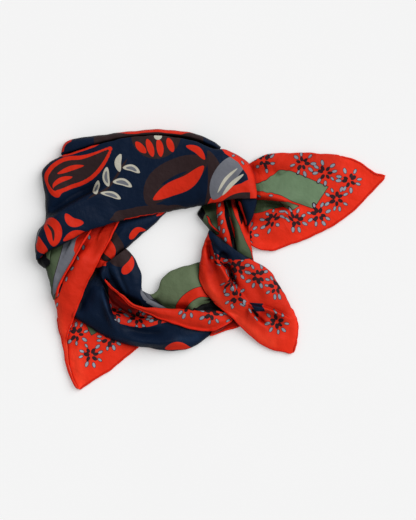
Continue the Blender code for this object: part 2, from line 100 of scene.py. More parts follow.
# The hidden ring
LAYERS = 4                  # folded layers that show at the ring's sides
LAYER_BITE = 1.5
RING_ROWS = 420
RING_TOP_COLUMNS = 17
LAYER_ROWS = 10             # grid points up the side of a layer
RING_RADIUS = 95.0          # in millimetres, for the places on its cloth
RING_SHARE = 0.45           # height of the hidden ring here, as a share of its solid
RING_SIDE = 0.62            # share of the ring's height that its layered sides take

# Shade is painted into the cloth's colour deep in folds: the shares of the view that a slope hides and that
# the depth of a fold hides, seen over these lengths in turns all round, and the painted shade's limits with
# the listed lines
HOLLOW_SHARES = (0.18, 0.72)
HOLLOW_REACHES = (1.0, 1.8, 3.0, 5.0, 8.0)
HOLLOW_TURNS = 12
HOLLOW_MARGIN = 0.3         # cloth hides nothing until it rises by this, in millimetres
PAINTED_SHADE_LIMITS = (-0.6, 1.4)

# What each use of random numbers adds to the seed
FOR_PRINT, FOR_STITCHES, FOR_EDGES, FOR_HEM = 3, 5, 7, 11

# Light. Brightnesses are on one scale: what a level white surface would give back of each.
SKY = 0.37                  # even light from all round
KEY = 0.575                 # one soft light from the upper right
KEY_HEIGHT = 45.0           # degrees above the table
KEY_TURN = 32.0             # degrees from the board's right side towards its top
KEY_SPREAD = 55.0           # how large the light looks, in degrees
TABLE_ALBEDO = 0.75         # the table is white acrylic, lit a little from below
TABLE_GLOW = 0.2
TABLE_HALF = 6.0            # metres
WHITE = (1.0, 1.0, 1.0, 1.0)

# Camera
LENS, SENSOR = 250.0, 36.0
FOCUS_HEIGHT = 12 * MM      # at this height one millimetre is one pixel of a picture 520 high

# A fold is a ridge (or, with a negative height, a trough) along a line of board points. A lap is a
# step: the cloth to the left of the line, as one walks along it, stands higher by height, and comes
# down again over reach. Both fade to nothing over the last part of a faded end.
Fold = namedtuple("Fold", "line height width fade_start fade_end", defaults=(0.25, 0.25))
Lap = namedtuple("Lap", "line height width reach fade_start fade_end", defaults=(0.0, 0.5))

# A section runs across a stretch, from one edge (a) to the other (b). In each table a section is
# (a_x, a_y, b_x, b_y, a_z, crown_z, b_z): a_z and b_z are the heights of the cloth's upper side at those
# edges, and crown_z its height between them. The ring's sections have one height, (a_x, a_y, b_x, b_y, z).
RING_SECTIONS = [
    (240, 170, 226, 194, 18), (222, 155, 214, 197, 19), (200, 147, 198, 200, 18), (175, 140, 180, 203, 17),
    (148, 138, 158, 207, 17), (120, 143, 137, 213, 17), (95, 150, 124, 221, 17), (68, 161, 116, 230, 17),
    (50, 178, 113, 240, 17), (49, 205, 113, 250, 16), (44, 235, 114, 262, 13), (52, 264, 120, 276, 10),
    (62, 290, 130, 288, 8), (82, 311, 137, 298, 7), (110, 329, 150, 303, 6), (140, 338, 165, 297, 6),
    (168, 342, 176, 285, 6), (192, 338, 190, 274, 6), (214, 324, 203, 268, 7), (236, 306, 208, 258, 8),
    (246, 283, 211, 249, 8), (247, 258, 213, 240, 8), (246, 236, 212, 229, 9), (248, 214, 210, 217, 11),
    (249, 190, 215, 205, 14),
]

TAIL_RIGHT = [
    (247, 165, 243, 234, 9, 9, 7), (254, 160.5, 252.5, 245, 8, 9, 6), (263, 155.2, 261, 249.4, 5, 9, 3),
    (275, 153, 272, 250.4, 4, 8, 3), (290, 152.4, 287, 245.5, 3, 7, 2.5), (306, 152.3, 301, 240.7, 3, 6, 2),
    (320, 153.2, 315.4, 234.6, 3, 5.5, 2), (333, 153.8, 328.8, 227.9, 2.5, 5, 2),
    (345, 156.6, 341, 220.4, 2, 4.5, 2), (357, 160.4, 352, 211.9, 2, 4, 2),
    (366, 166.4, 362, 202.4, 2, 3.5, 2), (374, 171.8, 370.9, 192.7, 2, 3, 2),
    (380.2, 174.2, 377.7, 185.5, 2, 2.5, 2), (386, 175, 385, 178.2, 2, 2, 2),
]

INNER_UPPER = [
    (140, 200, 171, 208, 13, 13, 6), (126, 207, 160.5, 218, 13, 13, 4), (114, 216, 150, 228, 13, 13, 3),
    (104, 228, 139, 237, 13, 13, 3), (97, 242, 128, 247, 13, 12, 3), (93, 255, 120, 256, 12, 12, 4),
    (90, 268, 116, 266, 11, 11, 6),
]
INNER_GREEN = [
    (141, 304, 142.5, 291, 6, 7, 3), (151, 311, 151, 294, 7, 9, 6), (163, 316, 158, 289.5, 7, 10, 8),
    (172, 319, 161, 280, 7, 11, 8), (181, 320, 167.5, 273, 7, 12, 6), (191, 320, 180, 267.5, 7, 12, 3),
    (201, 319, 192, 264, 7, 12, 4), (213, 316, 203, 261, 7, 12, 6), (224, 310, 213, 258, 8, 12, 8),
]
INNER_LOWER = [
    (105, 264, 126, 248.5, 14, 15, 6), (102, 272, 131.5, 253.6, 13, 15, 3),
    (104, 282, 137, 263.7, 12, 14, 6), (108, 292, 142, 276, 11, 14, 8), (114, 301, 141.5, 288, 10, 13, 8),
    (124, 309, 147, 297, 10, 12, 4), (137, 314, 157, 303, 10, 12, 8), (151, 318, 168, 309, 10, 11, 9),
]

CORNER_PANEL = [
    (71.5, 312, 147, 336, 2, 4, 2), (71.5, 325, 138, 347, 2, 5, 2), (65.5, 337, 128, 355.5, 2, 5.5, 2),
    (65, 349, 118, 363.3, 2, 5, 2), (67, 360, 108.5, 371.3, 2, 4.5, 2), (70, 370, 96, 378.5, 2, 4, 2),
    (73, 379.5, 87, 384.5, 2, 3, 2), (77.4, 389, 79.8, 390.2, 2, 2.5, 2),
]
NAVY_BAND = [
    (88, 256, 106, 262, 11, 12, 12), (78, 275, 106, 272, 9, 13, 12), (70, 294, 110.5, 284.5, 7, 14, 12),
    (69, 308, 117, 291.8, 5, 14, 12), (75, 317.5, 124, 297, 3, 14, 11), (86, 325, 130, 302, 3, 14, 11),
    (100, 333.5, 137, 307, 3, 14, 11), (115, 341, 144, 312, 3, 13, 11), (131, 345.5, 152, 317, 3, 13, 11),
    (147, 348, 161, 320, 3, 13, 11), (163, 350.5, 171, 321, 3, 13, 11), (178, 351, 182, 322, 3, 12, 11),
    (190, 348.5, 193, 323, 3, 11, 11), (200.5, 342.5, 204, 324, 3, 10, 10), (211, 335, 215, 323, 3, 9, 9),
    (223, 328, 227, 319, 4, 8, 8),
]
UNDER_HEM = [
    (209.8, 336, 214, 327, 2, 5, 6), (218, 333, 220, 321, 2, 5, 6), (230, 329.5, 232, 319, 2, 5, 6),
    (241, 326, 243, 315, 2, 5, 6),
]
RIBBON = [
    (104.6, 279.8, 105.2, 279, 14, 15, 14), (111.6, 287.6, 112.3, 286.8, 14, 16, 15),
    (118.8, 294, 119.7, 292.9, 14, 16, 15), (121.8, 297.2, 123.5, 294.9, 14, 16, 15),
    (128.2, 303.4, 130.1, 301.6, 14, 17, 15), (141.7, 310.3, 143.8, 306.8, 14, 17, 14),
    (155.5, 316.8, 158, 307.8, 13, 17, 13), (170.4, 322.2, 173, 308.5, 12, 16, 12),
    (186, 327.5, 189, 309.5, 10, 16, 12), (200, 330, 204, 310.5, 9, 16, 12),
    (212, 330.8, 217, 311, 8, 15, 12), (222, 326.3, 229, 313, 8, 14, 12),
    (232, 320.8, 238, 315.5, 8, 12, 12),
]

LEFT_STRIP = [
    (78, 222, 122, 215, 14, 17, 14), (74, 236, 113, 233, 13, 18, 14), (67, 250, 106, 246.5, 12, 18, 14),
    (60, 262, 98.5, 260, 10, 18, 13), (55, 275, 91.5, 274, 8, 17, 12), (53, 288, 85, 286.5, 6, 16, 10),
    (54, 300, 80.5, 298.5, 4, 14, 9), (56.5, 313, 76, 311, 3, 11, 8), (58.5, 327, 70.5, 324.5, 2.5, 8, 7),
    (61.5, 340, 67, 338.8, 3, 5.5, 5.5), (64.5, 353, 67.6, 352.2, 3, 4.5, 4.5),
    (66.5, 366, 69, 365.3, 3, 4, 4), (70, 377, 72, 376.6, 2.5, 3, 3), (76.9, 389.2, 78.4, 389, 2.5, 3, 3),
]
LEFT_FOLD = [
    (40, 252, 92, 229, 13, 17, 17), (42, 262, 85.5, 239, 6, 17, 18), (45.5, 270, 78.5, 251, 4, 17, 18),
    (48.5, 279, 72, 263, 3, 16, 18), (50, 287, 64.5, 275.5, 3, 14, 16), (51, 294, 59, 287, 3, 10, 12),
    (53, 300, 57.5, 296, 3, 7, 9),
]
ROLL_UNDER = [
    (36, 244, 54, 241, 10, 13, 14), (35.5, 254, 51, 250, 6, 12, 13), (38, 263, 50, 257, 3, 11, 13),
    (44, 268.5, 50, 264, 3, 9, 12),
]

NECK = [
    (208, 184, 248, 182, 20, 24, 20), (205, 192, 250, 190, 17, 21, 17), (201, 206, 253, 205, 9, 19, 13),
    (197.5, 214, 252, 218, 3, 17, 10), (203, 222, 250, 230, 3, 16, 9), (209, 230, 250, 239, 3, 15, 7),
    (210, 240, 252, 249, 4, 14, 5), (211, 250, 253.5, 257, 6, 13, 4), (212, 262, 254, 265, 8, 12, 5),
]
TAIL_LOWER = [
    (209, 230, 223, 240, 15, 18, 18), (205, 240, 237, 251, 10, 19, 18), (201.5, 252, 252, 260, 6, 19, 12),
    (199.5, 264, 262, 265, 5, 18, 8), (199, 275, 271, 272, 5, 17, 6), (201.5, 286, 277, 281, 6, 16, 5),
    (209, 297, 283, 291, 8, 15, 4), (221, 308, 289, 302, 9, 13, 3), (234.4, 319.6, 293.9, 313, 8, 10, 2.5),
    (247.4, 332.6, 297.7, 322.4, 5, 7, 2.5), (260.3, 343.1, 297.7, 334.2, 3, 6, 2.5),
    (275, 350, 296.5, 344, 2.5, 4, 2.5), (285, 352, 295, 348.5, 2, 3, 2.5),
    (291, 354, 294.5, 352.5, 2, 2.5, 2),
]
WRAP_INNER = [
    (256.5, 192, 233, 193, 20, 22, 20), (256.5, 203, 238, 203, 14, 20, 18),
    (255, 211, 241.5, 211, 12, 17, 16), (252, 219, 244, 219, 12, 15, 14),
    (248.5, 226, 246, 225.5, 11, 13, 12),
]

BAND_BACK = [
    (60.5, 154, 70, 162, 6, 12, 14), (63.5, 144, 75, 160, 4, 13, 15), (70, 139.5, 84, 156, 4, 14, 15),
    (88, 136.5, 98, 152, 4, 15, 16), (110, 133.5, 116, 148, 4, 15, 16), (135, 130.5, 138, 146, 4, 15, 16),
    (160, 129, 160, 145, 4, 15, 16), (182, 131, 180, 147, 4, 15, 17), (198, 134.1, 194, 151, 4, 16, 18),
    (211, 139.8, 206, 156, 4, 16, 18), (221, 146.6, 215, 161, 5, 17, 19),
]
BAND_FRONT = [
    (36, 260, 39.5, 258, 10, 13, 14), (35, 251, 47, 252, 7, 20, 15), (35.5, 241, 56, 248, 6, 24, 15),
    (38, 230, 66, 242.5, 6, 25, 16), (45, 221, 75, 238, 7, 25, 17), (45, 208, 83, 233, 4, 25, 18),
    (44, 193, 90, 230.5, 4, 24, 19), (42, 180, 97, 228, 4, 24, 19), (42, 170, 104, 226, 4, 23, 19),
    (48, 163, 110, 224, 5, 22, 19), (60, 156.5, 117, 222, 7, 22, 18), (78, 150.5, 125, 220, 14, 21, 15),
    (98, 144.5, 137, 217.5, 15, 21, 14), (120, 139, 150, 215, 16, 21, 13),
    (142, 136, 164, 212.5, 16, 21, 8), (163, 136, 177, 210, 16, 21, 4), (182, 138.5, 189, 208, 16, 22, 4),
    (200, 143, 200, 206, 17, 24, 8), (213, 148.5, 208, 204, 16, 26, 18), (226, 149.8, 214, 203, 12, 27, 20),
    (238, 155, 221, 201.6, 10, 27, 22), (248.5, 163, 228, 200.2, 10, 27, 23),
    (254.5, 175, 234, 199.2, 13, 26, 24), (256.5, 190, 239, 198.8, 18, 25, 24),
    (256.5, 198.5, 244, 198.8, 22, 24, 24),
]

Stretch = namedtuple("Stretch", "name sections a_edge b_edge cell")
FOLDED, FLAT = "folded", "flat"

# From the lowest stretch to the highest: each one is draped on all that come before it.
STRETCHES = [
    Stretch("tail_right", TAIL_RIGHT, FOLDED, FLAT, FINE_CELL),
    Stretch("inner_upper", INNER_UPPER, FLAT, FOLDED, CELL),
    Stretch("inner_green", INNER_GREEN, FLAT, FOLDED, CELL),
    Stretch("inner_lower", INNER_LOWER, FLAT, FOLDED, CELL),
    Stretch("corner_panel", CORNER_PANEL, FLAT, FLAT, FINE_CELL),
    Stretch("navy_band", NAVY_BAND, FOLDED, FLAT, FINE_CELL),
    Stretch("under_hem", UNDER_HEM, FLAT, FLAT, FINE_CELL),
    Stretch("ribbon", RIBBON, FLAT, FOLDED, FINE_CELL),
    Stretch("left_strip", LEFT_STRIP, FOLDED, FOLDED, FINE_CELL),
    Stretch("left_fold", LEFT_FOLD, FOLDED, FLAT, FINE_CELL),
    Stretch("neck", NECK, FOLDED, FOLDED, FINE_CELL),
    Stretch("tail_lower", TAIL_LOWER, FOLDED, FOLDED, FINE_CELL),
    Stretch("wrap_inner", WRAP_INNER, FOLDED, FLAT, CELL),
    Stretch("roll_under", ROLL_UNDER, FOLDED, FLAT, CELL),
    Stretch("band_back", BAND_BACK, FOLDED, FLAT, CELL),
    Stretch("band_front", BAND_FRONT, FOLDED, FOLDED, BAND_CELL),
]

# The folds of each stretch: first the main ones, which the solids of six stretches have too, then creases
# that are too fine for the solids, short, low and uneven.
FOLDS = {
    "tail_right": [
        Fold([(248, 204), (272, 206), (300, 206), (318, 211)], -4.5, 4.5, 0.05, 0.4),
        Fold([(248, 190), (275, 195), (302, 205)], 2.5, 6, 0.05, 0.4),
        Fold([(248, 216), (278, 213), (306, 210)], 3, 6, 0.05, 0.4),
        Fold([(250, 172), (270, 172), (292, 166)], -3, 6, 0.05, 0.5),
        Fold([(248, 160), (256, 176), (258, 192), (258, 206), (252, 222)], -3.5, 8, 0, 0),
        Fold([(263, 202.5), (276, 205), (288, 209), (301, 214)], -4, 2.6, 0.05, 0.3),
        Fold([(250, 194.5), (266, 196), (282, 200), (298, 206)], 3, 3.4, 0, 0.3),
        Fold([(262, 171), (284, 166), (312, 166)], 0.7, 5),
        Fold([(300, 178), (326, 174), (352, 172)], 0.5, 6),
        Fold([(262, 232), (290, 229), (318, 222)], 0.8, 6),
        Fold([(256, 240), (276, 243), (296, 238)], -0.6, 4),
        Fold([(340, 212), (356, 196), (370, 184)], 0.5, 5),
        Lap([(300, 203), (284, 199), (270, 192), (256, 187)], 1.2, 1.5, 12, 0.2, 0.1),
        Lap([(256, 200), (268, 199), (282, 204), (296, 209)], 1.8, 1.5, 10, 0.1, 0.3),
        Lap([(278, 177), (296, 165), (319, 152)], 2.8, 0.6, 9, 0.1, 0),
    ],
    "inner_upper": [
        Fold([(118, 220), (126, 232), (122, 244)], -0.8, 4),
        Fold([(104, 240), (114, 250), (118, 262)], 0.9, 3),
        Lap([(124, 226), (112, 242), (102, 256)], 1.4, 1.5, 8, 0.1, 0.2),
        Fold([(118, 222), (134, 216), (152, 212), (172, 208)], -3.5, 6, 0, 0),
        Fold([(102, 228), (95, 246), (90, 264)], -5, 11, 0, 0),
    ],
    "inner_green": [
        Fold([(168, 284), (190, 280), (212, 284)], 0.9, 6),
        Fold([(160, 300), (178, 298), (200, 292)], -0.8, 5),
        Lap([(202, 290), (190, 296), (181, 308)], 1, 1.5, 12, 0.1, 0.1),
        Fold([(196, 308), (208, 304), (222, 304)], -5, 5),
        Fold([(150, 300), (158, 306), (172, 309), (190, 309)], -6, 7, 0.1, 0.1),
        Fold([(198, 262), (200, 276), (206, 292), (216, 304)], -4, 5, 0, 0),
    ],
    "inner_lower": [
        Fold([(106, 262), (113, 280), (126, 297)], -2.5, 4, 0.1, 0.4),
        Fold([(107, 264), (110, 276), (120, 294)], -1.8, 1.6),
        Fold([(111, 260), (115, 274), (125, 294)], 1.3, 2.4),
        Fold([(116, 260), (120, 276), (130, 296)], -1.5, 2),
        Fold([(128, 262), (134, 278), (137, 290)], 0.8, 3),
        Fold([(102, 274), (110, 289), (122, 301), (138, 308), (158, 311)], -12, 7.5, 0.25, 0.3),
    ],
    "corner_panel": [
        Fold([(78, 330), (78, 352), (79, 380)], 0.9, 4, 0.2, 0.2),
        Fold([(90, 334), (98, 352), (96, 370)], -0.5, 5),
        Fold([(112, 342), (110, 354), (102, 366)], 0.5, 6),
    ],
    "navy_band": [
        Fold([(103, 262), (107, 298), (113, 331)], 4, 5, 0.1, 0.3),
        Fold([(110, 332), (150, 342), (198, 335)], 2.5, 6, 0.3, 0.3),
        Fold([(120, 322), (150, 332), (185, 331)], -2.5, 6, 0.3, 0.4),
        Fold([(96, 276), (92, 296), (88, 318)], -3, 6, 0.2, 0.4),
        Fold([(84, 300), (96, 318), (112, 332)], 0.6, 4),
        Fold([(116, 335), (132, 340), (156, 343), (186, 340)], 1.5, 3.2),
        Fold([(122, 328), (142, 333), (168, 333)], -2, 3.4),
        Fold([(120, 322), (142, 327.5), (164, 325)], 0.9, 1.6),
        Fold([(174, 330), (192, 334), (206, 332)], 0.9, 3),
        Fold([(140, 346.5), (164, 348), (186, 346)], -0.7, 1.8),
        Fold([(101, 266), (103, 288), (107, 308), (116, 334)], 3.5, 3, 0.1, 0.2),
        Fold([(106, 276), (110, 298), (114, 317)], -5.5, 4, 0.05, 0.2),
        Fold([(97, 264), (90, 279), (85, 294), (80, 308), (77, 320)], -9, 6.5, 0, 0.3),
        Fold([(101, 281), (109, 294), (119, 303.5), (132, 312), (156, 320)], -13, 6, 0, 0.4),
        Fold([(107, 280), (110, 300), (116, 320)], -1, 2, 0.1, 0.3),
        Fold([(114, 304), (130, 312), (150, 318)], -1, 2.6),
    ],
    "ribbon": [
        Fold([(206, 302), (220, 312), (234, 322)], -4, 5, 0, 0),
        Fold([(132, 307), (160, 316), (196, 321)], -0.8, 3),
        Fold([(170, 318), (200, 326), (224, 324)], 0.8, 3),
    ],
    "left_strip": [
        Fold([(84, 236), (96, 231), (110, 226), (122, 218)], -9, 10, 0, 0),
        Fold([(90, 231), (84, 241), (77, 252), (70, 264), (62, 277), (55, 291)], -4.5, 4.5, 0, 0.2),
        Fold([(90, 230), (90, 246), (84, 260)], -6, 12, 0, 0.4),
        Fold([(96, 240), (84, 256), (72, 282), (66, 306)], 0.8, 5),
        Fold([(104, 232), (94, 250), (84, 270)], -0.6, 4),
        Fold([(62, 318), (66, 340), (70, 366)], 0.5, 3),
    ],
    "left_fold": [
        Fold([(42, 254), (58, 248), (74, 240), (90, 231)], -3.8, 5, 0, 0),
        Fold([(66, 244), (60, 262), (56, 282)], -0.9, 4),
        Fold([(52, 250), (52, 268), (54, 284)], 0.7, 4),
    ],
    "neck": [
        Fold([(216, 190), (221, 215), (229, 250)], 4, 4.5, 0, 0.3),
        Fold([(226, 195), (231, 220), (236, 254)], -4.5, 3.5, 0, 0.3),
        Fold([(229, 195), (235, 222), (242, 258)], 3, 4, 0, 0.3),
        Fold([(239, 195), (245, 215), (249, 232)], -3, 3.5, 0, 0.4),
        Fold([(209, 200), (213, 214), (219, 231)], -3, 3.5, 0, 0.3),
        Fold([(205, 216), (210, 224), (217, 231)], 1.2, 1.3),
        Fold([(204, 202), (207, 213), (214, 226)], -5, 5, 0, 0.3),
        Fold([(200, 205), (220, 203), (240, 203), (256, 200)], -9, 9, 0, 0),
        Fold([(221, 212), (224, 226), (227, 242)], -0.6, 1.4),
        Fold([(247, 226), (250, 240), (252, 254)], 0.9, 1.6),
        Fold([(211, 232), (217, 246), (227, 256)], -1.8, 2),
    ],
    "tail_lower": [
        Lap([(272, 327), (262, 320), (248, 304), (232, 281), (213, 252), (208, 244)], 3.5, 2.5, 22,
            0.35, 0.1),
        Fold([(256, 306), (266, 313), (282, 320)], -1.5, 4, 0.3, 0.4),
        Fold([(236, 262), (256, 290), (268, 308)], -2, 7, 0.2, 0.4),
        Fold([(206, 244), (208, 258), (213, 274), (221, 290), (232, 302)], -4, 6, 0.05, 0.4),
        Fold([(208, 240), (210, 254), (214, 268), (220, 280)], -6, 3, 0.05, 0.5),
        Fold([(206, 247), (214, 256), (222, 261), (232, 266)], -4, 4.5),
        Fold([(213, 250), (220, 264), (227, 278), (237, 293), (248, 306)], 2.4, 2.4, 0.1, 0.3),
        Fold([(222, 253), (229, 266), (233, 278), (241, 292), (250, 304)], -3, 5, 0.05, 0.35),
        Fold([(221, 252), (227, 264), (232, 277), (239, 290)], -10, 2.1, 0.05, 0.45),
        Fold([(258, 312), (272, 317), (286, 323)], -6, 7.5, 0.2, 0.3),
        Fold([(206, 270), (208, 284), (220, 300)], 0.8, 3),
        Fold([(246, 270), (258, 284), (272, 300)], 0.8, 5),
        Fold([(262, 272), (274, 286), (284, 302)], -0.6, 4),
        Lap([(294, 320), (280, 313), (265, 307.5), (248, 304)], 8, 0.8, 11, 0.3, 0.05),
        Fold([(247, 303), (254, 313), (262, 321), (271, 329)], -4.5, 2, 0.15, 0.4),
        Fold([(236, 318), (250, 330), (262, 338)], 0.7, 4),
        Fold([(258, 332), (272, 338), (286, 338)], 0.9, 6),
        Fold([(266, 328), (280, 334), (294, 332)], -0.7, 5),
        Fold([(209, 238), (218, 250), (232, 258)], -2, 1.8, 0.1, 0.2),
    ],
    "wrap_inner": [
        Fold([(240, 198), (246, 206), (248, 218)], 0.9, 3),
    ],
    "band_back": [
        Fold([(76, 143), (120, 136), (170, 133)], 0.6, 3),
        Fold([(62, 159), (84, 152), (106, 146), (130, 141), (160, 139), (190, 141.5), (210, 149), (224, 157)],
             -7, 3.6, 0, 0),
    ],
    "band_front": [
        Lap([(44, 220), (75, 201), (100, 187), (126, 172)], -7, 4, 34, 0, 0.5),
        Fold([(60, 158), (92, 152), (126, 148)], -0.5, 4),
        Fold([(50, 176), (76, 166), (104, 158)], 0.5, 6),
        Fold([(47, 213), (63, 202), (79, 192), (94, 185), (108, 179)], -2.8, 4, 0.1, 0.45),
        Lap([(45, 219), (62, 208), (78, 199), (90, 193), (110, 184)], -3.6, 0.9, 9, 0.05, 0.4),
        Fold([(52, 196), (72, 186), (96, 176)], -0.9, 6),
        Fold([(52, 220), (74, 207), (96, 198), (122, 190)], 1.4, 4, 0.1, 0.5),
        Fold([(50, 232), (60, 226), (76, 224)], 0.7, 5),
        Fold([(58, 226), (62, 234), (60, 244)], -0.8, 2.6),
        Fold([(96, 206), (132, 200), (170, 200)], 0.5, 7),
        Fold([(196, 200), (218, 190), (238, 186)], 0.6, 6),
        Fold([(216, 156), (228, 170), (232, 190)], -0.5, 6),
        Fold([(222, 196), (236, 192), (250, 190)], -0.6, 3),
        Fold([(150, 142), (186, 144), (214, 154)], 0.4, 4),
    ],
}

# Pleats, in order across a stretch: the height of each ridge or valley, and its line on the board
PLEATS = {
    "neck": [
        (0.6, [(209, 196), (205, 213), (212, 230), (214, 262)]),
        (-5, [(213, 196), (214, 214), (219, 232), (226, 262)]),
        (2.6, [(218, 196), (222, 222), (228, 248), (232, 262)]),
        (-8, [(223, 196), (229, 226), (235, 253), (236, 264)]),
        (2.4, [(226.5, 196), (232.5, 226), (239, 252), (241, 264)]),
        (-3, [(232, 196), (241, 222), (248, 246), (251, 264)]),
        (1.2, [(235, 196), (244, 222), (250, 244), (253, 264)]),
        (-6, [(240, 196), (246, 220), (249, 232)]),
    ],
}
# Painted shade along lines where the heap's own folds go further down than the built ones; a negative height
# paints a lighter sheen where they are shallower. Each adds to the painted fold shade of the cloth along its
# line
PAINTED_SHADE_LINES = {
    "navy_band": [
        Fold([(109, 286), (113, 297), (118, 304), (129, 310), (142, 316)], 1.4, 5.5, 0, 0.3),
        Fold([(114, 300), (120, 313), (132, 320), (150, 322)], 0.5, 5, 0.1, 0.2),
        Fold([(101, 270), (102, 285), (105, 300), (108, 312)], -0.4, 3, 0.1, 0.2),
        Fold([(172, 338), (188, 340), (203, 334)], -0.35, 5, 0.3, 0.2),
        Fold([(112, 334), (128, 342), (150, 345)], -0.25, 3.5, 0.3, 0.3),
    ],
    "wrap_inner": [Fold([(238, 203), (243, 214), (247, 226)], 0.7, 5, 0, 0)],
    "tail_right": [Fold([(256, 165), (259, 180), (260, 195), (259, 212)], -0.4, 5, 0.1, 0.1)],
    "neck": [Fold([(229, 200), (233, 205), (236, 210)], 0.8, 3, 0, 0.3)],
    "under_hem": [Fold([(210, 333), (226, 326), (240, 321)], 0.8, 7, 0, 0)],
    "inner_upper": [Fold([(116, 226), (132, 219), (150, 214), (166, 210)], -0.5, 5, 0.1, 0.1)],
    "inner_lower": [Fold([(106, 264), (109, 278), (117, 291), (128, 300)], -0.8, 6, 0.1, 0.2)],
    "band_front": [Fold([(48, 212), (64, 203), (80, 193), (96, 186)], -0.35, 4, 0.1, 0.3)],
    "inner_green": [Fold([(146, 292), (154, 303), (168, 312)], 0.15, 7, 0.1, 0.3)],
    "left_strip": [
        Fold([(54, 275), (55, 300), (58, 320), (62, 340)], -0.4, 5, 0.1, 0.1),
        Fold([(65, 336), (69, 352), (75, 386)], -0.5, 9, 0.2, 0),
    ],
    "corner_panel": [Fold([(73, 345), (77, 365), (80, 388)], -0.3, 8, 0.2, 0)],
    "tail_lower": [
        Fold([(208, 254), (210, 266), (213, 277)], 0.4, 4, 0.2, 0.3),
        Fold([(203, 278), (210, 293), (222, 306), (244, 325), (262, 338), (282, 347)], -0.35, 6, 0.1, 0.1),
    ],
}
# How strongly the cloth of a stretch undulates, in millimetres
UNDULATION = {"neck": 0.25, "band_front": 0.45, "band_back": 0.3, "tail_right": 0.55, "tail_lower": 0.5}
# Where an edge has a rolled hem, as shares of the way along it
Hem = namedtuple("Hem", "stretch edge start end")
HEMS = [
    Hem("tail_right", "b", 0, 1),
    Hem("tail_right", "a", 0.66, 1),
    Hem("corner_panel", "b", 0, 1),
    Hem("under_hem", "a", 0, 1),
    Hem("ribbon", "a", 0, 1),
    Hem("left_strip", "b", 0, 0.72),
    Hem("left_strip", "a", 0.58, 1),
    Hem("left_fold", "b", 0, 1),
    Hem("tail_lower", "a", 0.50, 1),
    Hem("tail_lower", "b", 0.62, 1),
]

# The print. Its inks are sRGB colours with the width of the dark line round their shapes, in millimetres.
# Navy is the cloth's own colour, so a navy shape only takes away the inks below it.
Ink = namedtuple("Ink", "colour outline")
INKS = {
    "red": Ink((217, 45, 24), 0.0),
    "brown": Ink((50, 36, 37), 0.0),
    "grey": Ink((112, 114, 122), 0.0),
    "cream": Ink((196, 192, 176), 0.0),
    "green": Ink((104, 128, 98), 0.55),
    # The next two inks are darker copies of the green, for green that lies in shade: painted shade
    "sage": Ink((101, 116, 87), 0.5),
    "moss": Ink((78, 92, 68), 0.5),
    # A near-black ink that paints shadow in deep valleys and pockets; it is not a colour of the print
    "dark": Ink((14, 14, 20), 0.0),
    "seed": Ink((48, 30, 34), 0.3),
    "petal": Ink((140, 146, 157), 0.5),
}
NAVY = (13, 28, 50)
DARK_LINE = (44, 22, 30)
HEM_REDS = ((196, 28, 14), (226, 46, 24))
THREAD_REDS = ((190, 34, 24), (226, 62, 44))

# Shapes of the print, in millimetres of cloth. A stroke follows a smooth line, and its width changes
# along it by its form. A panel is an outline, with rounded or sharp corners. An edging runs along an
# edge of the stretch. A garland sets border flowers along a line, and seeds are single petals along one.
Stroke = namedtuple("Stroke", "ink line width form", defaults=("leaf",))
Panel = namedtuple("Panel", "ink outline rounded", defaults=(False,))
Edging = namedtuple("Edging", "ink edge start end near far")
Garland = namedtuple("Garland", "line count turn", defaults=(0.0,))
Seeds = namedtuple("Seeds", "line count")
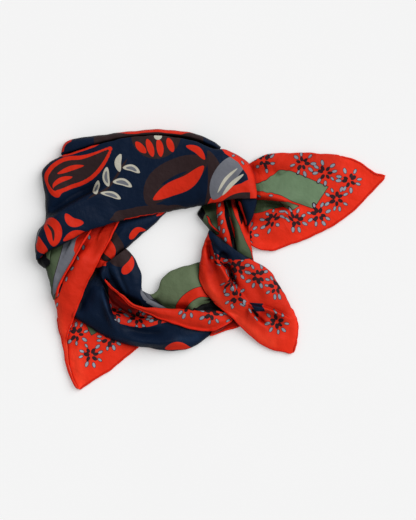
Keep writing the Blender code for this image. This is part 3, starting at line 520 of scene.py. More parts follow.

# The green grounds of inner_green, left_fold and roll_under are darker copies of the green ink: painted shade
GROUND = {
    "tail_right": "red", "corner_panel": "red", "under_hem": "red", "ribbon": "red", "left_strip": "red",
    "neck": "red", "tail_lower": "red", "inner_green": "sage", "left_fold": "moss", "roll_under": "moss",
}
PRINT = {
    "band_front": [
        # a paisley of two colours with leaves inside it
        Stroke("red", [(50, 183), (64, 173), (82, 169), (98, 160), (113, 146)], 33, "drop"),
        Stroke("brown", [(52, 182), (65, 173), (82, 169), (97, 160), (110, 149)], 24, "drop"),
        Stroke("red", [(50, 186), (60, 179), (72, 176)], 5),
        Stroke("red", [(56, 173), (69, 168), (84, 165)], 5),
        # an olive branch in grey and cream
        Stroke("brown", [(93, 206), (104, 194), (115, 179), (128, 158)], 2.4, "wave"),
        Stroke("cream", [(100, 199), (97, 190), (98, 180)], 6.5),
        Stroke("grey", [(99, 196), (97, 190), (97.6, 183.5)], 2.8),
        Stroke("cream", [(103, 196), (112, 195), (121, 199)], 6.5),
        Stroke("grey", [(106, 195.5), (112, 195.5), (118, 198)], 3.4),
        Stroke("cream", [(109, 187), (106, 178), (107, 167)], 7),
        Stroke("grey", [(107.9, 183.5), (105.9, 178), (106.5, 170.5)], 3),
        Stroke("cream", [(113, 182), (123, 182), (132, 187)], 7),
        Stroke("grey", [(116, 182), (123, 182.5), (129, 185.5)], 3.8),
        Stroke("cream", [(120, 172), (118, 163), (121, 154)], 6.5),
        Stroke("cream", [(123, 168), (132, 168), (140, 173)], 6.5),
        Stroke("grey", [(126, 168), (132, 168.5), (137, 171.5)], 3.4),
        # half a round blossom below the upper fold
        Stroke("brown", [(155.9, 134), (156, 134), (156.1, 134)], 50, "seed"),
        Stroke("red", [(136, 142), (140, 147), (146, 153)], 7),
        Stroke("red", [(147, 139), (150, 147), (153, 157)], 7),
        Stroke("red", [(158, 139), (160, 147), (161, 157)], 7),
        Stroke("red", [(168, 138), (170, 144), (173, 152)], 7),
        Stroke("cream", [(157.9, 136), (158, 136), (158.1, 136)], 8, "seed"),
        # a broad leaf, half of it red
        Stroke("brown", [(148, 204), (160, 186), (180, 174), (206, 160)], 34),
        Stroke("red", [(153, 200), (170, 190), (188, 182), (204, 166)], 15),
        Stroke("navy", [(160, 186), (174, 178), (188, 171)], 3),
        # a spray beside it
        Stroke("brown", [(205, 212), (214, 192), (215, 172), (208, 150)], 15),
        Stroke("red", [(208, 210), (222, 200), (236, 196), (254, 184)], 21),
        Stroke("grey", [(213, 200), (222, 180), (236, 164), (250, 158)], 22),
        Stroke("cream", [(217, 194), (226, 179), (238, 168)], 3.2),
        Stroke("cream", [(222, 196), (232, 184), (244, 174)], 4.2),
        Stroke("red", [(224, 200), (236, 192), (250, 180)], 7),
        Stroke("brown", [(219, 206), (236, 198.5), (257, 194.5)], 9),
        Stroke("red", [(186, 146), (197, 150), (205, 160)], 7),
        # leaves on the roll
        Stroke("red", [(42, 218), (53, 228), (55, 246)], 17),
        Stroke("brown", [(46, 223), (53, 231), (54, 242)], 3),
        Stroke("red", [(66, 214), (72, 222), (84, 223)], 9),
        Stroke("red", [(36, 236), (40, 246), (48, 253)], 10),
        Stroke("grey", [(34, 244), (34, 234), (39, 226)], 5),
        Stroke("red", [(64, 241), (74, 235), (88, 234)], 8),
        # the brown ground and the border's line at the lower fold, and the border at the right
        Edging("brown", "b", 0.30, 0.74, -4, 13),
        Edging("red", "b", 0.36, 0.62, -3, 3),
        Edging("red", "a", 0.26, 0.48, -6, 3),
        Panel("red", [(219, 140), (240, 140), (272, 170), (272, 210), (250, 204), (250, 188),
                      (247, 175), (238, 162), (225, 153)]),
        Seeds([(234, 154), (243, 162)], 2),
    ],
    "band_back": [
        Panel("brown", [(92, 125), (96, 160), (204, 160), (204, 120)]),
        Edging("red", "a", 0.34, 0.84, -4, 11),
        Edging("red", "a", 0, 0.12, -4, 8),
    ],
    "wrap_inner": [
        # A near-black panel on the left, where the wrap lies in deep shade: painted shadow
        Panel("dark", [(226, 188), (240, 188), (242, 203), (246, 215), (247.5, 232), (226, 232)]),
        Stroke("red", [(238.4, 201), (241, 210.5), (246.2, 225)], 3.4, "wave"),
        Stroke("brown", [(234, 196), (246, 195), (256, 197)], 5),
    ],
    "inner_upper": [
        Panel("brown", [(109, 226), (118, 235), (127, 250), (120, 258), (102, 236)], True),
        Panel("red", [(98, 236), (112, 240), (118, 254), (104, 268), (88, 268)], True),
        Stroke("brown", [(99, 252), (105, 258), (111, 260)], 6),
        Stroke("red", [(131, 238), (138, 230), (148, 231)], 7, "drop"),
        Stroke("red", [(156, 216), (162, 213), (169, 209)], 3.4),
        Edging("brown", "a", 0, 1, -4, 2),
    ],
    "inner_lower": [
        Panel("brown", [(104, 256), (132, 240), (136, 258), (118, 270)], True),
        Stroke("red", [(124, 272), (131, 264), (134, 254)], 9, "drop"),
        Stroke("grey", [(143.2, 288.5), (148.5, 296), (155.5, 302.5), (168, 310)], 8.5, "wave"),
    ],
    "inner_green": [
        Stroke("red", [(178, 314), (186, 300), (200, 292), (216, 294)], 10, "wave"),
        # A near-black pocket by the ribbon: painted shadow, with a strip of green in painted shade inside it
        Panel("dark", [(190, 314), (198, 303), (212, 299), (226, 300), (228, 316)], True),
        Stroke("sage", [(194, 309), (202, 304), (212, 302)], 5),
        Stroke("grey", [(140, 288), (150, 298), (164, 311)], 5, "wave"),
    ],
    "corner_panel": [
        # A green triangle of the print in a darker copy of the green: painted shade near the band's lower
        # edge
        Panel("moss", [(80, 314), (91, 336), (98, 332), (97, 316)]),
        Garland([(76, 334), (91.5, 355), (109, 339)], 3, 0.3),
    ],
    "navy_band": [
        Panel("red", [(107, 281), (104, 330), (190, 345), (200, 300), (130, 285)]),
        Garland([(117, 311), (139, 317), (161, 316)], 3, 0.1),
        Panel("navy", [(60, 250), (104, 250), (107, 281), (112, 289), (118, 297), (117, 308), (113.5, 320),
                       (120, 323.5), (130, 326.2), (140, 327.5), (150, 326), (160, 323), (178, 320),
                       (190, 316), (205, 316), (205, 375), (60, 375)]),
        Panel("red", [(86, 262), (110, 258), (112, 266), (103, 266), (95, 269), (84, 272)]),
        Panel("brown", [(84, 269), (95, 268), (100, 268), (97, 274), (90, 281), (84, 284), (76, 284)]),
        Edging("red", "a", 0.60, 0.665, -8, 1.2),
        Stroke("red", [(164, 353), (177, 347), (192, 352)], 10),
    ],
    "under_hem": [],
    "ribbon": [
        Garland([(188, 306), (213, 313), (236, 314)], 3, 0.8),
    ],
    "left_strip": [
        Seeds([(89, 237), (79, 255), (66, 279)], 5),
        Seeds([(60, 286), (57, 296), (56, 305)], 3),
        Stroke("seed", [(62, 283), (60, 288), (59, 293)], 2.6, "seed"),
    ],
    "left_fold": [
        Panel("grey", [(66, 234), (92, 226), (84, 244), (66, 280), (50, 300), (54, 278), (61, 254)]),
        Edging("red", "b", 0, 1.3, -2, 3.6),
        Panel("red", [(98, 220), (82, 233), (77, 238), (74, 250), (76, 256), (98, 240)]),
    ],
    "roll_under": [
        # A near-black patch where the roll tucks under: painted shadow
        Panel("dark", [(30, 250), (45, 251), (47, 258), (54, 262), (54, 275), (30, 270)]),
        Stroke("red", [(36, 243), (40, 249), (40, 258)], 7),
    ],
    "neck": [
        # The green folds in a darker copy of the green (painted shade), and a near-black patch at the left
        # end of the first fold: painted shadow
        Panel("moss", [(184, 180), (211, 180), (214, 214), (217, 234), (196, 238), (184, 216)]),
        Panel("dark", [(184, 206), (192, 206), (199, 213), (196, 221), (184, 222)]),
        Stroke("red", [(201, 215), (208, 224), (217, 232)], 1.6, "wave"),
        # Near-black valleys beside the pleats: painted shadow; the green between them is a darker copy of the
        # green: painted shade
        Panel("dark", [(219, 180), (228, 200), (231, 215), (234.5, 228), (236, 240), (238, 254), (234, 254),
                       (229, 232), (224.5, 215)]),
        Panel("moss", [(222, 180), (229, 180), (233.5, 206), (239, 216), (245, 227), (251, 244), (254, 262),
                       (237, 258), (236, 240), (237.5, 230), (231, 215), (226, 205)]),
        Panel("dark", [(232, 180), (246, 180), (252, 216), (247, 226), (242, 214), (238, 205)]),
        Panel("navy", [(208, 228), (213, 234), (222, 246), (236, 253), (254, 260), (254, 270), (208, 270)]),
        Seeds([(217, 205), (221, 219), (223, 233), (227, 248)], 6),
        Seeds([(216, 216), (218, 231), (219, 240)], 3),
    ],
    "tail_lower": [
        Garland([(215, 262), (221, 279), (234, 297)], 3, 0.2),
        Seeds([(243, 303), (248, 311), (253, 319)], 3),
        Garland([(238, 268), (258, 276), (277, 287)], 3, 0.9),
        Garland([(277, 322)], 1, 0.5),
        # A dark seed along the crease, which also paints its shade, and a navy patch in the pocket between
        # the flap and the right panel: painted shadow
        Stroke("seed", [(251, 309), (254, 313), (258, 317)], 3.6, "seed"),
        Panel("navy", [(249, 302.5), (264, 303.5), (266, 311.5), (255, 311.5)]),
        # A near-black stripe above the navy wrap: painted shadow
        Panel("dark", [(202, 222), (214, 226), (228, 235), (244, 246), (258, 258), (252, 259), (240, 256),
                       (206, 232)]),
        Panel("navy", [(206, 226), (214, 234), (224, 243), (240, 251), (254, 259), (236, 260), (222, 258),
                       (212, 252)]),
    ],
    "tail_right": [
        Panel("green", [(244, 182), (257, 177.5), (264, 172.5), (270.5, 166.5), (278, 165.5), (286, 168),
                        (329, 186.5), (314, 209), (298, 204), (289, 200), (280, 194), (272, 185.5),
                        (264, 185), (257, 186.5), (244, 186)]),
        # The twisted band in darker copies of the green: painted shade, lighter towards its right end
        Panel("moss", [(246, 198), (258, 198), (265, 197), (272, 197.5), (279, 202), (284, 202), (286, 213),
                       (278, 216), (270, 213.5), (262, 215.3), (246, 216)]),
        Panel("sage", [(279, 203), (288, 202), (300, 206.5), (290, 213), (284, 214)]),
        Stroke("petal", [(257, 191.2), (259, 191.6), (261, 192)], 3, "seed"),
        Stroke("petal", [(269, 188.5), (271, 189), (273, 190)], 3, "seed"),
        Garland([(264, 151)], 1, 0.2),
        Garland([(303, 163), (327, 173), (350, 181), (336, 200), (320, 214), (296, 221), (272, 227)], 7, 0.4),
        Garland([(246, 236)], 1, 0.9),
    ],
}

# A stretch's cut, not given for any stretch here: its colour in the record, how it is held, what the flat
# piece of it that shows measures in metres (and its area), and the pieces it rests on
Cut = namedtuple("Cut", "slot held width length area rests_on")


def smooth_step(t):
    """An even rise from 0 to 1, level at both ends."""
    t = np.clip(t, 0.0, 1.0)
    return t * t * (3.0 - 2.0 * t)


def unit(vectors):
    return vectors / np.linalg.norm(vectors, axis=-1, keepdims=True)


def heading(angle):
    return np.array([math.cos(angle), math.sin(angle)])


def dice_for(name, use=0):
    """Random numbers of their own for each name and each use, the same on each run."""
    seed = sum((place + 1) * ord(letter) for place, letter in enumerate(name))
    return np.random.default_rng(seed + use)


def lengths_along(points):
    """The length of a line of points up to each of them."""
    steps = np.linalg.norm(np.diff(points, axis=0), axis=1)
    return np.concatenate([[0.0], np.cumsum(steps)])


def curve_through(values, knots, at):
    """Values at the places `at` on a smooth curve through the rows of `values`, which lie at `knots`."""
    slopes = np.gradient(values, knots, axis=0)
    i = np.clip(np.searchsorted(knots, at, side="right") - 1, 0, len(knots) - 2)
    span = knots[i + 1] - knots[i]
    t = ((at - knots[i]) / span)[:, None]
    ease = smooth_step(t)
    lead = t * (1.0 - t) ** 2 * span[:, None] * slopes[i]
    trail = t * t * (1.0 - t) * span[:, None] * slopes[i + 1]
    return values[i] * (1.0 - ease) + values[i + 1] * ease + lead - trail


def evenly_along(line, count):
    """That many places, evenly spaced, on a smooth curve through a line of points."""
    line = np.array(line, float)
    if len(line) == 1:
        return line
    knots = lengths_along(line)
    return curve_through(line, knots, np.linspace(0.0, knots[-1], count))


def smooth_line(line, spacing):
    """A smooth line through the given points, resampled at about that spacing."""
    length = lengths_along(np.array(line, float))[-1]
    return evenly_along(line, max(int(length / spacing), 6) + 1)


def straight_between(line, knots, at):
    """Places on a line of points in space, straight from each to the next, at these lengths along it."""
    return np.stack([np.interp(at, knots, line[:, k]) for k in range(3)], axis=-1)


def middle_lengths(sections):
    """The length of the middle line through the sections up to each of them."""
    return lengths_along((sections[:, 0:2] + sections[:, 2:4]) / 2)


def resampled(sections, cell):
    """The sections as rows that are nowhere more than a cell apart, and each row's share of the way."""
    sections = np.array(sections, float)
    knots = middle_lengths(sections)
    shares = np.linspace(0.0, 1.0, FINE_ROWS * len(sections))
    fine = curve_through(sections, knots, shares * knots[-1])
    edges = [lengths_along(fine[:, 0:2]), lengths_along(fine[:, 2:4])]
    way = np.cumsum(np.append(0.0, np.diff(edges, axis=1).max(axis=0)))
    shares = np.interp(np.linspace(0.0, way[-1], int(way[-1] / cell) + 2), way, shares)
    return curve_through(sections, knots, shares * knots[-1]), shares


def resampled_ring(sections, count):
    """The ring's sections as `count` rows, evenly spaced all the way round."""
    sections = np.array(sections, float)
    sections = np.vstack([sections[-2:], sections, sections[:3]])
    knots = middle_lengths(sections)
    return curve_through(sections, knots, np.linspace(knots[2], knots[-3], count, endpoint=False))


def edge_rise(t, edge):
    """How far the cloth has risen from its edge height to its crown, at share t of the way there."""
    power = FOLD_POWER if edge == FOLDED else FLAT_POWER
    rise = 1.0 - (1.0 - np.clip(t, 0.0, 1.0)) ** power
    return rise ** (1.0 / power) if edge == FOLDED else rise


def across_places():
    """Shares of the way across, closer together towards both edges, where the cloth turns down."""
    even = np.linspace(0.0, 1.0, COLUMNS + 1)
    return 0.6 * even + 0.4 * (1.0 - np.cos(even * math.pi)) / 2


def along_line(points, line):
    """For each board point: its distance from the line, its side of it (+1 left), and the share along it."""
    steps = np.linalg.norm(np.diff(line, axis=0), axis=1)
    best = np.full(len(points), np.inf)
    side = np.ones(len(points))
    share = np.zeros(len(points))
    for start, end, length, before in zip(line[:-1], line[1:], steps, lengths_along(line)):
        run = (end - start) / length
        offset = points - start
        foot = np.clip(offset @ run, 0.0, length)
        away = np.linalg.norm(offset - foot[:, None] * run, axis=1)
        nearer = away < best
        best = np.where(nearer, away, best)
        side = np.where(nearer, np.sign(run[1] * offset[:, 0] - run[0] * offset[:, 1]), side)
        share = np.where(nearer, (before + foot) / steps.sum(), share)
    return best, side, share


def ends_faded(share, fade_start, fade_end):
    """1 along most of a line, and down to 0 over the faded part at each end."""
    start = smooth_step(share / fade_start) if fade_start else 1.0
    end = smooth_step((1.0 - share) / fade_end) if fade_end else 1.0
    return start * end


def bell(away, width):
    """1 on a line, and towards 0 beyond the width."""
    return np.exp(-((away / width) ** 2))


def fold_heights(points, folds):
    """What the folds and laps add to the height, in millimetres, at each board point."""
    total = np.zeros(len(points))
    for fold in folds:
        away, side, share = along_line(points, smooth_line(fold.line, FOLD_STEP))
        strength = fold.height * ends_faded(share, fold.fade_start, fold.fade_end)
        if isinstance(fold, Lap):
            raised = smooth_step(0.5 + side * away / (2 * fold.width))
            total += strength * raised * bell(away, fold.reach)
        else:
            total += strength * bell(away, fold.width)
    return total


def pleat_heights(points, pleats):
    """What a row of pleats adds to the height: round ridges, with sharper valleys between them."""
    total = np.zeros(len(points))
    if not pleats:
        return total
    heights, lines = zip(*pleats)
    away, sides, _ = zip(*[along_line(points, smooth_line(line, FOLD_STEP)) for line in lines])
    passed = [side < 0 for side in sides]
    for k in range(len(pleats) - 1):
        first, second = heights[k:k + 2]
        share = away[k] / np.maximum(away[k] + away[k + 1], 1e-6)
        if first > second:
            between = second + (first - second) * np.cos(share * math.pi / 2)
        else:
            between = first + (second - first) * np.sin(share * math.pi / 2)
        total = np.where(passed[k] & ~passed[k + 1], between, total)
    total = np.where(passed[0], total, heights[0] * bell(away[0], OUTER_PLEATS[0]))
    return np.where(passed[-1], heights[-1] * bell(away[-1], OUTER_PLEATS[1]), total)


def undulation(points, dice):
    """A gentle unevenness, between about -1 and 1: a few long waves in directions of their own."""
    wave_lengths = (52.0, 38.0, 27.0, 19.0, 14.0)
    bend_length = 31.0
    total = np.zeros(len(points))
    for length in wave_lengths:
        run = heading(dice.uniform(0.0, math.pi))
        phase = dice.uniform(0.0, 2 * math.pi)
        wave = points @ run * (2 * math.pi / length)
        bend = np.sin(points @ np.array([-run[1], run[0]]) / bend_length + phase)
        total += np.sin(wave + phase + 0.8 * bend) * (length / wave_lengths[0]) ** 0.7
    return total / 2.6


# The relief is the height, in millimetres, of everything built so far, on a grid of board cells.


def stamped(relief, points):
    """The relief with one more stretch on it. Its points are rows and columns of board places."""
    shares = np.linspace(0.0, 1.0, 4, endpoint=False)
    corner, right = points[:-1, :-1], points[:-1, 1:]
    below, across = points[1:, :-1], points[1:, 1:]
    relief = relief.copy()
    for s in shares:
        for t in shares:
            place = (corner * (1 - t) + right * t) * (1 - s) + (below * (1 - t) + across * t) * s
            place = place.reshape(-1, 3)
            column = np.clip((place[:, 0] / RELIEF_CELL).astype(int), 0, relief.shape[1] - 1)
            row = np.clip((place[:, 1] / RELIEF_CELL).astype(int), 0, relief.shape[0] - 1)
            np.maximum.at(relief, (row, column), place[:, 2])
    return relief


def widened(relief, radius):
    """The relief with each cell as high as the highest within the radius, then softened a little."""
    reach = int(radius / RELIEF_CELL)
    padded = np.pad(relief, reach, mode="edge")
    rows, columns = relief.shape
    high = relief.copy()
    for down in range(-reach, reach + 1):
        for right in range(-reach, reach + 1):
            if down * down + right * right <= reach * reach + 0.5:
                shifted = padded[reach + down:reach + down + rows, reach + right:reach + right + columns]
                high = np.maximum(high, shifted)
    for _ in range(2):
        padded = np.pad(high, 1, mode="edge")
        high = sum(padded[i:i + rows, j:j + columns] for i in range(3) for j in range(3)) / 9
    return high


def relief_at(relief, points):
    """The relief's height at board places, even between the middles of its cells."""
    column = np.clip(points[..., 0] / RELIEF_CELL - 0.5, 0, relief.shape[1] - 1.01)
    row = np.clip(points[..., 1] / RELIEF_CELL - 0.5, 0, relief.shape[0] - 1.01)
    i, j = row.astype(int), column.astype(int)
    s, t = row - i, column - j
    upper = relief[i, j] * (1 - t) + relief[i, j + 1] * t
    lower = relief[i + 1, j] * (1 - t) + relief[i + 1, j + 1] * t
    return upper * (1 - s) + lower * s


def soft_maximum(heights, lowest, softness=0.7):
    return lowest + softness * np.logaddexp(0.0, (heights - lowest) / softness)


def smoothed_along(values):
    """Each row's values averaged with those of the rows before and after it, 1 to 2 to 1."""
    padded = np.concatenate([values[:1], values, values[-1:]])
    return (padded[:-2] + 2 * values + padded[2:]) / 4


def hemmed_rows(stretch, edge, share):
    """Which rows of an edge have a rolled hem, for rows at these shares of the way along."""
    hemmed = np.zeros(len(share), bool)
    for hem in HEMS:
        if hem.stretch == stretch.name and hem.edge == edge:
            hemmed |= (share >= hem.start) & (share <= hem.end)
    return hemmed


def edge_wander(name, rows, cell):
    """Small waves in the outline of both edges, in millimetres, that fade at the stretch's ends."""
    along = np.arange(rows) * cell
    phase = dice_for(name, FOR_EDGES).uniform(0.0, 2 * math.pi, 4)
    a = np.sin(along / 5.3 + phase[0]) + 0.7 * np.sin(along / 2.4 + phase[1])
    b = np.sin(along / 4.7 + phase[2]) + 0.7 * np.sin(along / 2.1 + phase[3])
    calm = smooth_step(np.minimum(along, along[::-1]) / WANDER_CALM)
    return WANDER * a * calm, WANDER * b * calm


def added_heights(stretch, points):
    """What its folds, creases, pleats and undulation add to a stretch's height at rows of board places."""
    name = stretch.name
    flat_points = points.reshape(-1, 2)
    added = fold_heights(flat_points, FOLDS.get(name, []))
    added += pleat_heights(flat_points, PLEATS.get(name))
    added += UNDULATION.get(name, USUAL_UNDULATION) * undulation(flat_points, dice_for(name))
    return added.reshape(points.shape[:2])


def draped_surface(stretch, relief):
    """The upper side of a stretch as rows and columns of (x, y, z), with the lowest heights allowed, the
    direction across each row, and each row's share of the way along."""
    rows, share = resampled(stretch.sections, stretch.cell)
    across = across_places()
    a, b = rows[:, 0:2], rows[:, 2:4]
    run = unit(b - a)
    wander_a, wander_b = edge_wander(stretch.name, len(rows), stretch.cell)
    a = a - run * wander_a[:, None]
    b = b + run * wander_b[:, None]
    points = a[:, None] + (b - a)[:, None] * across[None, :, None]
    a_z, crown_z, b_z = rows[:, None, 4], rows[:, None, 5], rows[:, None, 6]
    from_a = a_z + (crown_z - a_z) * edge_rise(2 * across, stretch.a_edge)
    from_b = b_z + (crown_z - b_z) * edge_rise(2 * (1 - across), stretch.b_edge)
    heights = np.where(across < 0.5, from_a, from_b) + added_heights(stretch, points)

    along = (np.arange(len(rows)) * stretch.cell)[:, None]
    pucker = PUCKER * np.sin(along / 1.15 + 1.3 * np.sin(along / 9.0))
    lift = np.zeros_like(heights)
    for edge, corner in (("a", a), ("b", b)):
        hemmed = hemmed_rows(stretch, edge, share)[:, None]
        away = np.linalg.norm(points - corner[:, None], axis=2)
        lift = np.maximum(lift, hemmed * (HEM_CLEARANCE - CLEARANCE) * bell(away, HEM_LIFT_REACH))
        heights = heights + hemmed * pucker * np.exp(-away / PUCKER_REACH)
    lowest = relief_at(relief, points) + CLEARANCE + lift
    heights = soft_maximum(heights, lowest)
    for _ in range(SLACKENINGS):
        heights = np.maximum(smoothed_along(heights), lowest)
    return np.dstack([points, heights]), lowest, run, share


def turned_edges(stretch, surface, lowest, run, share):
    """The cloth turned under at each edge that is folded: round the fold, then a little way inwards."""
    width = np.linalg.norm(surface[:, -1, :2] - surface[:, 0, :2], axis=1)
    least, most = TURN_RADII
    radius_share, reach_share = TURN_WIDTHS
    turns = np.radians(TURN_ANGLES)
    sides = []
    for edge, kind, column, inward in (("a", stretch.a_edge, 0, run), ("b", stretch.b_edge, -1, -run)):
        if kind == FLAT:
            sides.append(np.empty((len(surface), 0, 3)))
            continue
        start = surface[:, column]
        hemmed = hemmed_rows(stretch, edge, share)
        radius = np.clip(start[:, 2] - lowest[:, column] + CLEARANCE - TURN_CLEARANCE, least, most)
        radius = np.where(hemmed, least, np.minimum(radius, radius_share * width))
        for _ in range(TURN_SMOOTHINGS):
            radius = smoothed_along(radius)
        around = radius[:, None] * (1 - np.cos(turns))
        down = radius[:, None] * np.sin(turns)
        reach = np.where(hemmed, HEMMED_REACH, 1.0)[:, None] * TURN_REACHES
        further = around[:, -1:] + np.minimum(reach, reach_share * width[:, None])
        side = np.repeat(start[:, None], len(turns) + len(TURN_REACHES), axis=1)
        side[..., :2] += inward[:, None] * np.hstack([around, further])[..., None]
        side[..., 2] -= np.pad(down, ((0, 0), (0, len(TURN_REACHES))), mode="edge")
        sides.append(side)
    return sides


def evenly_spaced(surface, sides, cell):
    """The rows resampled evenly by their own length, and each point's signed way from the row's middle,
    and from each edge inwards."""
    whole = np.concatenate([sides[0][:, ::-1], surface, sides[1]], axis=1)
    first, columns = sides[0].shape[1], surface.shape[1]
    steps = np.linalg.norm(np.diff(whole, axis=1), axis=2)
    knots = np.pad(np.cumsum(steps, axis=1), ((0, 0), (1, 0)))
    count = int(np.percentile(knots[:, -1], 85) / cell) + 2
    way = np.linspace(0.0, 1.0, count) * knots[:, -1:]
    points = np.stack([straight_between(*row) for row in zip(whole, knots, way)])
    middle, a_fold, b_fold = (knots[:, k, None] for k in (first + columns // 2, first, first + columns - 1))
    return points, way - middle, way - a_fold, b_fold - way


# The print, in millimetres of cloth. A level is how far a point lies inside a shape, less than zero outside.


def outline_level(points, outline):
    """How far each point lies inside a closed outline."""
    inside = np.zeros(len(points), bool)
    away = np.full(len(points), np.inf)
    for start, end in zip(outline, np.roll(outline, -1, axis=0)):
        run = end - start
        offset = points - start
        foot = np.clip(offset @ run / (run @ run), 0.0, 1.0)
        away = np.minimum(away, np.linalg.norm(offset - foot[:, None] * run, axis=1))
        crosses = (start[1] > points[:, 1]) != (end[1] > points[:, 1])
        if crosses.any():
            where = start[0] + (points[:, 1] - start[1]) * run[0] / (run[1] or 1e-9)
            inside ^= crosses & (points[:, 0] < where)
    return np.where(inside, away, -away)


def rounded_outline(outline):
    """A closed outline with its corners drawn round: each side is cut twice near its ends."""
    for _ in range(3):
        following = np.roll(outline, -1, axis=0)
        outline = np.stack([0.75 * outline + 0.25 * following, 0.25 * outline + 0.75 * following], axis=1)
        outline = outline.reshape(-1, 2)
    return outline


def width_share(share, form):
    """A stroke's width at a share of the way along it, as a share of its full width."""
    if form == "leaf":
        return (4 * share * (1 - share)) ** 0.75
    if form == "drop":
        return np.sin(math.pi * np.clip(share, 0, 1) ** 0.5) ** 0.8
    if form == "seed":
        return np.sqrt(np.clip(1 - (2 * share - 1) ** 2, 0, 1))
    return np.clip(7 * np.minimum(share, 1 - share), 0, 1) ** 0.6


def stroke_level(points, stroke):
    """How far each point lies inside a stroke: the union of discs along its line, as wide as it is there."""
    line = smooth_line(stroke.line, max(stroke.width * 0.12, STROKE_STEP))
    share = np.linspace(0.0, 1.0, len(line))
    radius = np.maximum(stroke.width / 2 * width_share(share, stroke.form), STROKE_RADIUS)
    low = (line - radius[:, None]).min(axis=0) - LEVEL_LIMIT
    high = (line + radius[:, None]).max(axis=0) + LEVEL_LIMIT
    near = ((points > low) & (points < high)).all(axis=1)
    close = points[near]
    best = np.full(len(close), -LEVEL_LIMIT)
    for place, reach in zip(line, radius):
        best = np.maximum(best, reach - np.hypot(close[:, 0] - place[0], close[:, 1] - place[1]))
    level = np.full(len(points), -LEVEL_LIMIT)
    level[near] = best
    return level


def edging_level(edging, from_edge, share):
    """How far each point lies inside an edging, which narrows to nothing at its two ends."""
    half_width = (edging.far - edging.near) / 2
    taper = ends_faded((share - edging.start) / (edging.end - edging.start), 0.2, 0.2)
    return half_width * taper - np.abs(from_edge - (edging.near + edging.far) / 2) - 0.2


# A ring of a flower's petals: from near to far of its centre, turned by a share of a petal's place
Petals = namedtuple("Petals", "ink count near far width shift")
FLOWER = (Petals("petal", 8, 7.5, 12.6, 3.7, 0.35), Petals("seed", 6, 2.4, 6.8, 3.9, 0.0))
FLOWER_TURN = 0.7           # from one flower of a garland to the next, in radians

# How unevenly petals are set: turns and lean in radians, size as a share, and millimetres outwards
PETAL_TURNS = (-0.22, 0.22)
PETAL_LEANS = (-0.25, 0.25)
PETAL_SIZES = (0.82, 1.08)
PETAL_SHIFTS = (-0.4, 0.8)
SEED_TURNS = (1.0, 2.4)
SEED_HALF, SEED_WIDTH = 2.4, 3.3


def flower(centre, turn, dice):
    """One border flower: a ring of pale seed-shaped petals round a few dark ones."""
    strokes = []
    for ring in FLOWER:
        for k in range(ring.count):
            angle = turn + (k + ring.shift) * 2 * math.pi / ring.count + dice.uniform(*PETAL_TURNS)
            lean = angle + dice.uniform(*PETAL_LEANS)
            size = dice.uniform(*PETAL_SIZES)
            start = centre + (ring.near + dice.uniform(*PETAL_SHIFTS)) * heading(angle)
            end = start + (ring.far - ring.near) * size * heading(lean)
            strokes.append(Stroke(ring.ink, [start, (start + end) / 2, end], ring.width * size, "seed"))
    return strokes


def single_seed(centre, dice):
    """One pale petal of a flower that is mostly folded away."""
    half = SEED_HALF * heading(dice.uniform(*SEED_TURNS))
    return Stroke("petal", [centre - half, centre, centre + half], SEED_WIDTH, "seed")


def shapes_of(name):
    """The shapes of a stretch's print, with its garlands and seeds turned into single petals."""
    dice = dice_for(name, FOR_PRINT)
    shapes = []
    for shape in PRINT[name]:
        if isinstance(shape, Seeds):
            shapes += [single_seed(centre, dice) for centre in evenly_along(shape.line, shape.count)]
        elif isinstance(shape, Garland):
            for k, centre in enumerate(evenly_along(shape.line, shape.count)):
                shapes += flower(centre, shape.turn + FLOWER_TURN * k, dice)
        else:
            shapes.append(shape)
    return shapes


def inked(name, cloth, from_a, from_b, share):
    """The level of each ink at each point. Each shape covers what lies below it."""
    cloth = cloth.reshape(-1, 2)
    levels = {ink: np.full(len(cloth), -LEVEL_LIMIT) for ink in INKS}
    if name in GROUND:
        levels[GROUND[name]][:] = LEVEL_LIMIT
    for shape in shapes_of(name):
        if isinstance(shape, Stroke):
            level = stroke_level(cloth, shape)
        else:
            if isinstance(shape, Panel):
                outline = np.array(shape.outline, float)
                level = outline_level(cloth, rounded_outline(outline) if shape.rounded else outline)
            else:
                from_edge = from_a if shape.edge == "a" else from_b
                level = edging_level(shape, from_edge.ravel(), share.ravel())
            level = np.clip(level, -LEVEL_LIMIT, LEVEL_LIMIT)
        for ink in INKS:
            covered = np.minimum(levels[ink], -level)
            levels[ink] = np.maximum(levels[ink], level) if ink == shape.ink else covered
    return levels


def to_table(points):
    """Board millimetres to metres about the frame's origin, with y turned to point up the board."""
    x = (points[..., 0] - BOARD_MIDDLE[0]) * MM
    y = (BOARD_MIDDLE[1] - points[..., 1]) * MM
    return np.stack([x, y, points[..., 2] * MM], axis=-1)


def grid_faces(rows, columns, closed_rows=False, closed_columns=False):
    """The faces of a grid of points, as an array of their corners."""
    index = np.arange(rows * columns).reshape(rows, columns)
    if closed_rows:
        index = np.vstack([index, index[:1]])
    if closed_columns:
        index = np.hstack([index, index[:, :1]])
    corners = [index[:-1, :-1], index[:-1, 1:], index[1:, 1:], index[1:, :-1]]
    return np.stack(corners, axis=-1).reshape(-1, 4)


def placed(name, data):
    """A new object of the scene that holds this mesh, lamp or camera."""
    obj = bpy.data.objects.new(name, data)
    bpy.context.scene.collection.objects.link(obj)
    return obj


def mesh_object(name, points, faces, material):
    mesh = bpy.data.meshes.new(name)
    mesh.from_pydata(points.reshape(-1, 3).tolist(), [], faces)
    mesh.update()
    mesh.shade_smooth()
    mesh.materials.append(material)
    return placed(name, mesh)


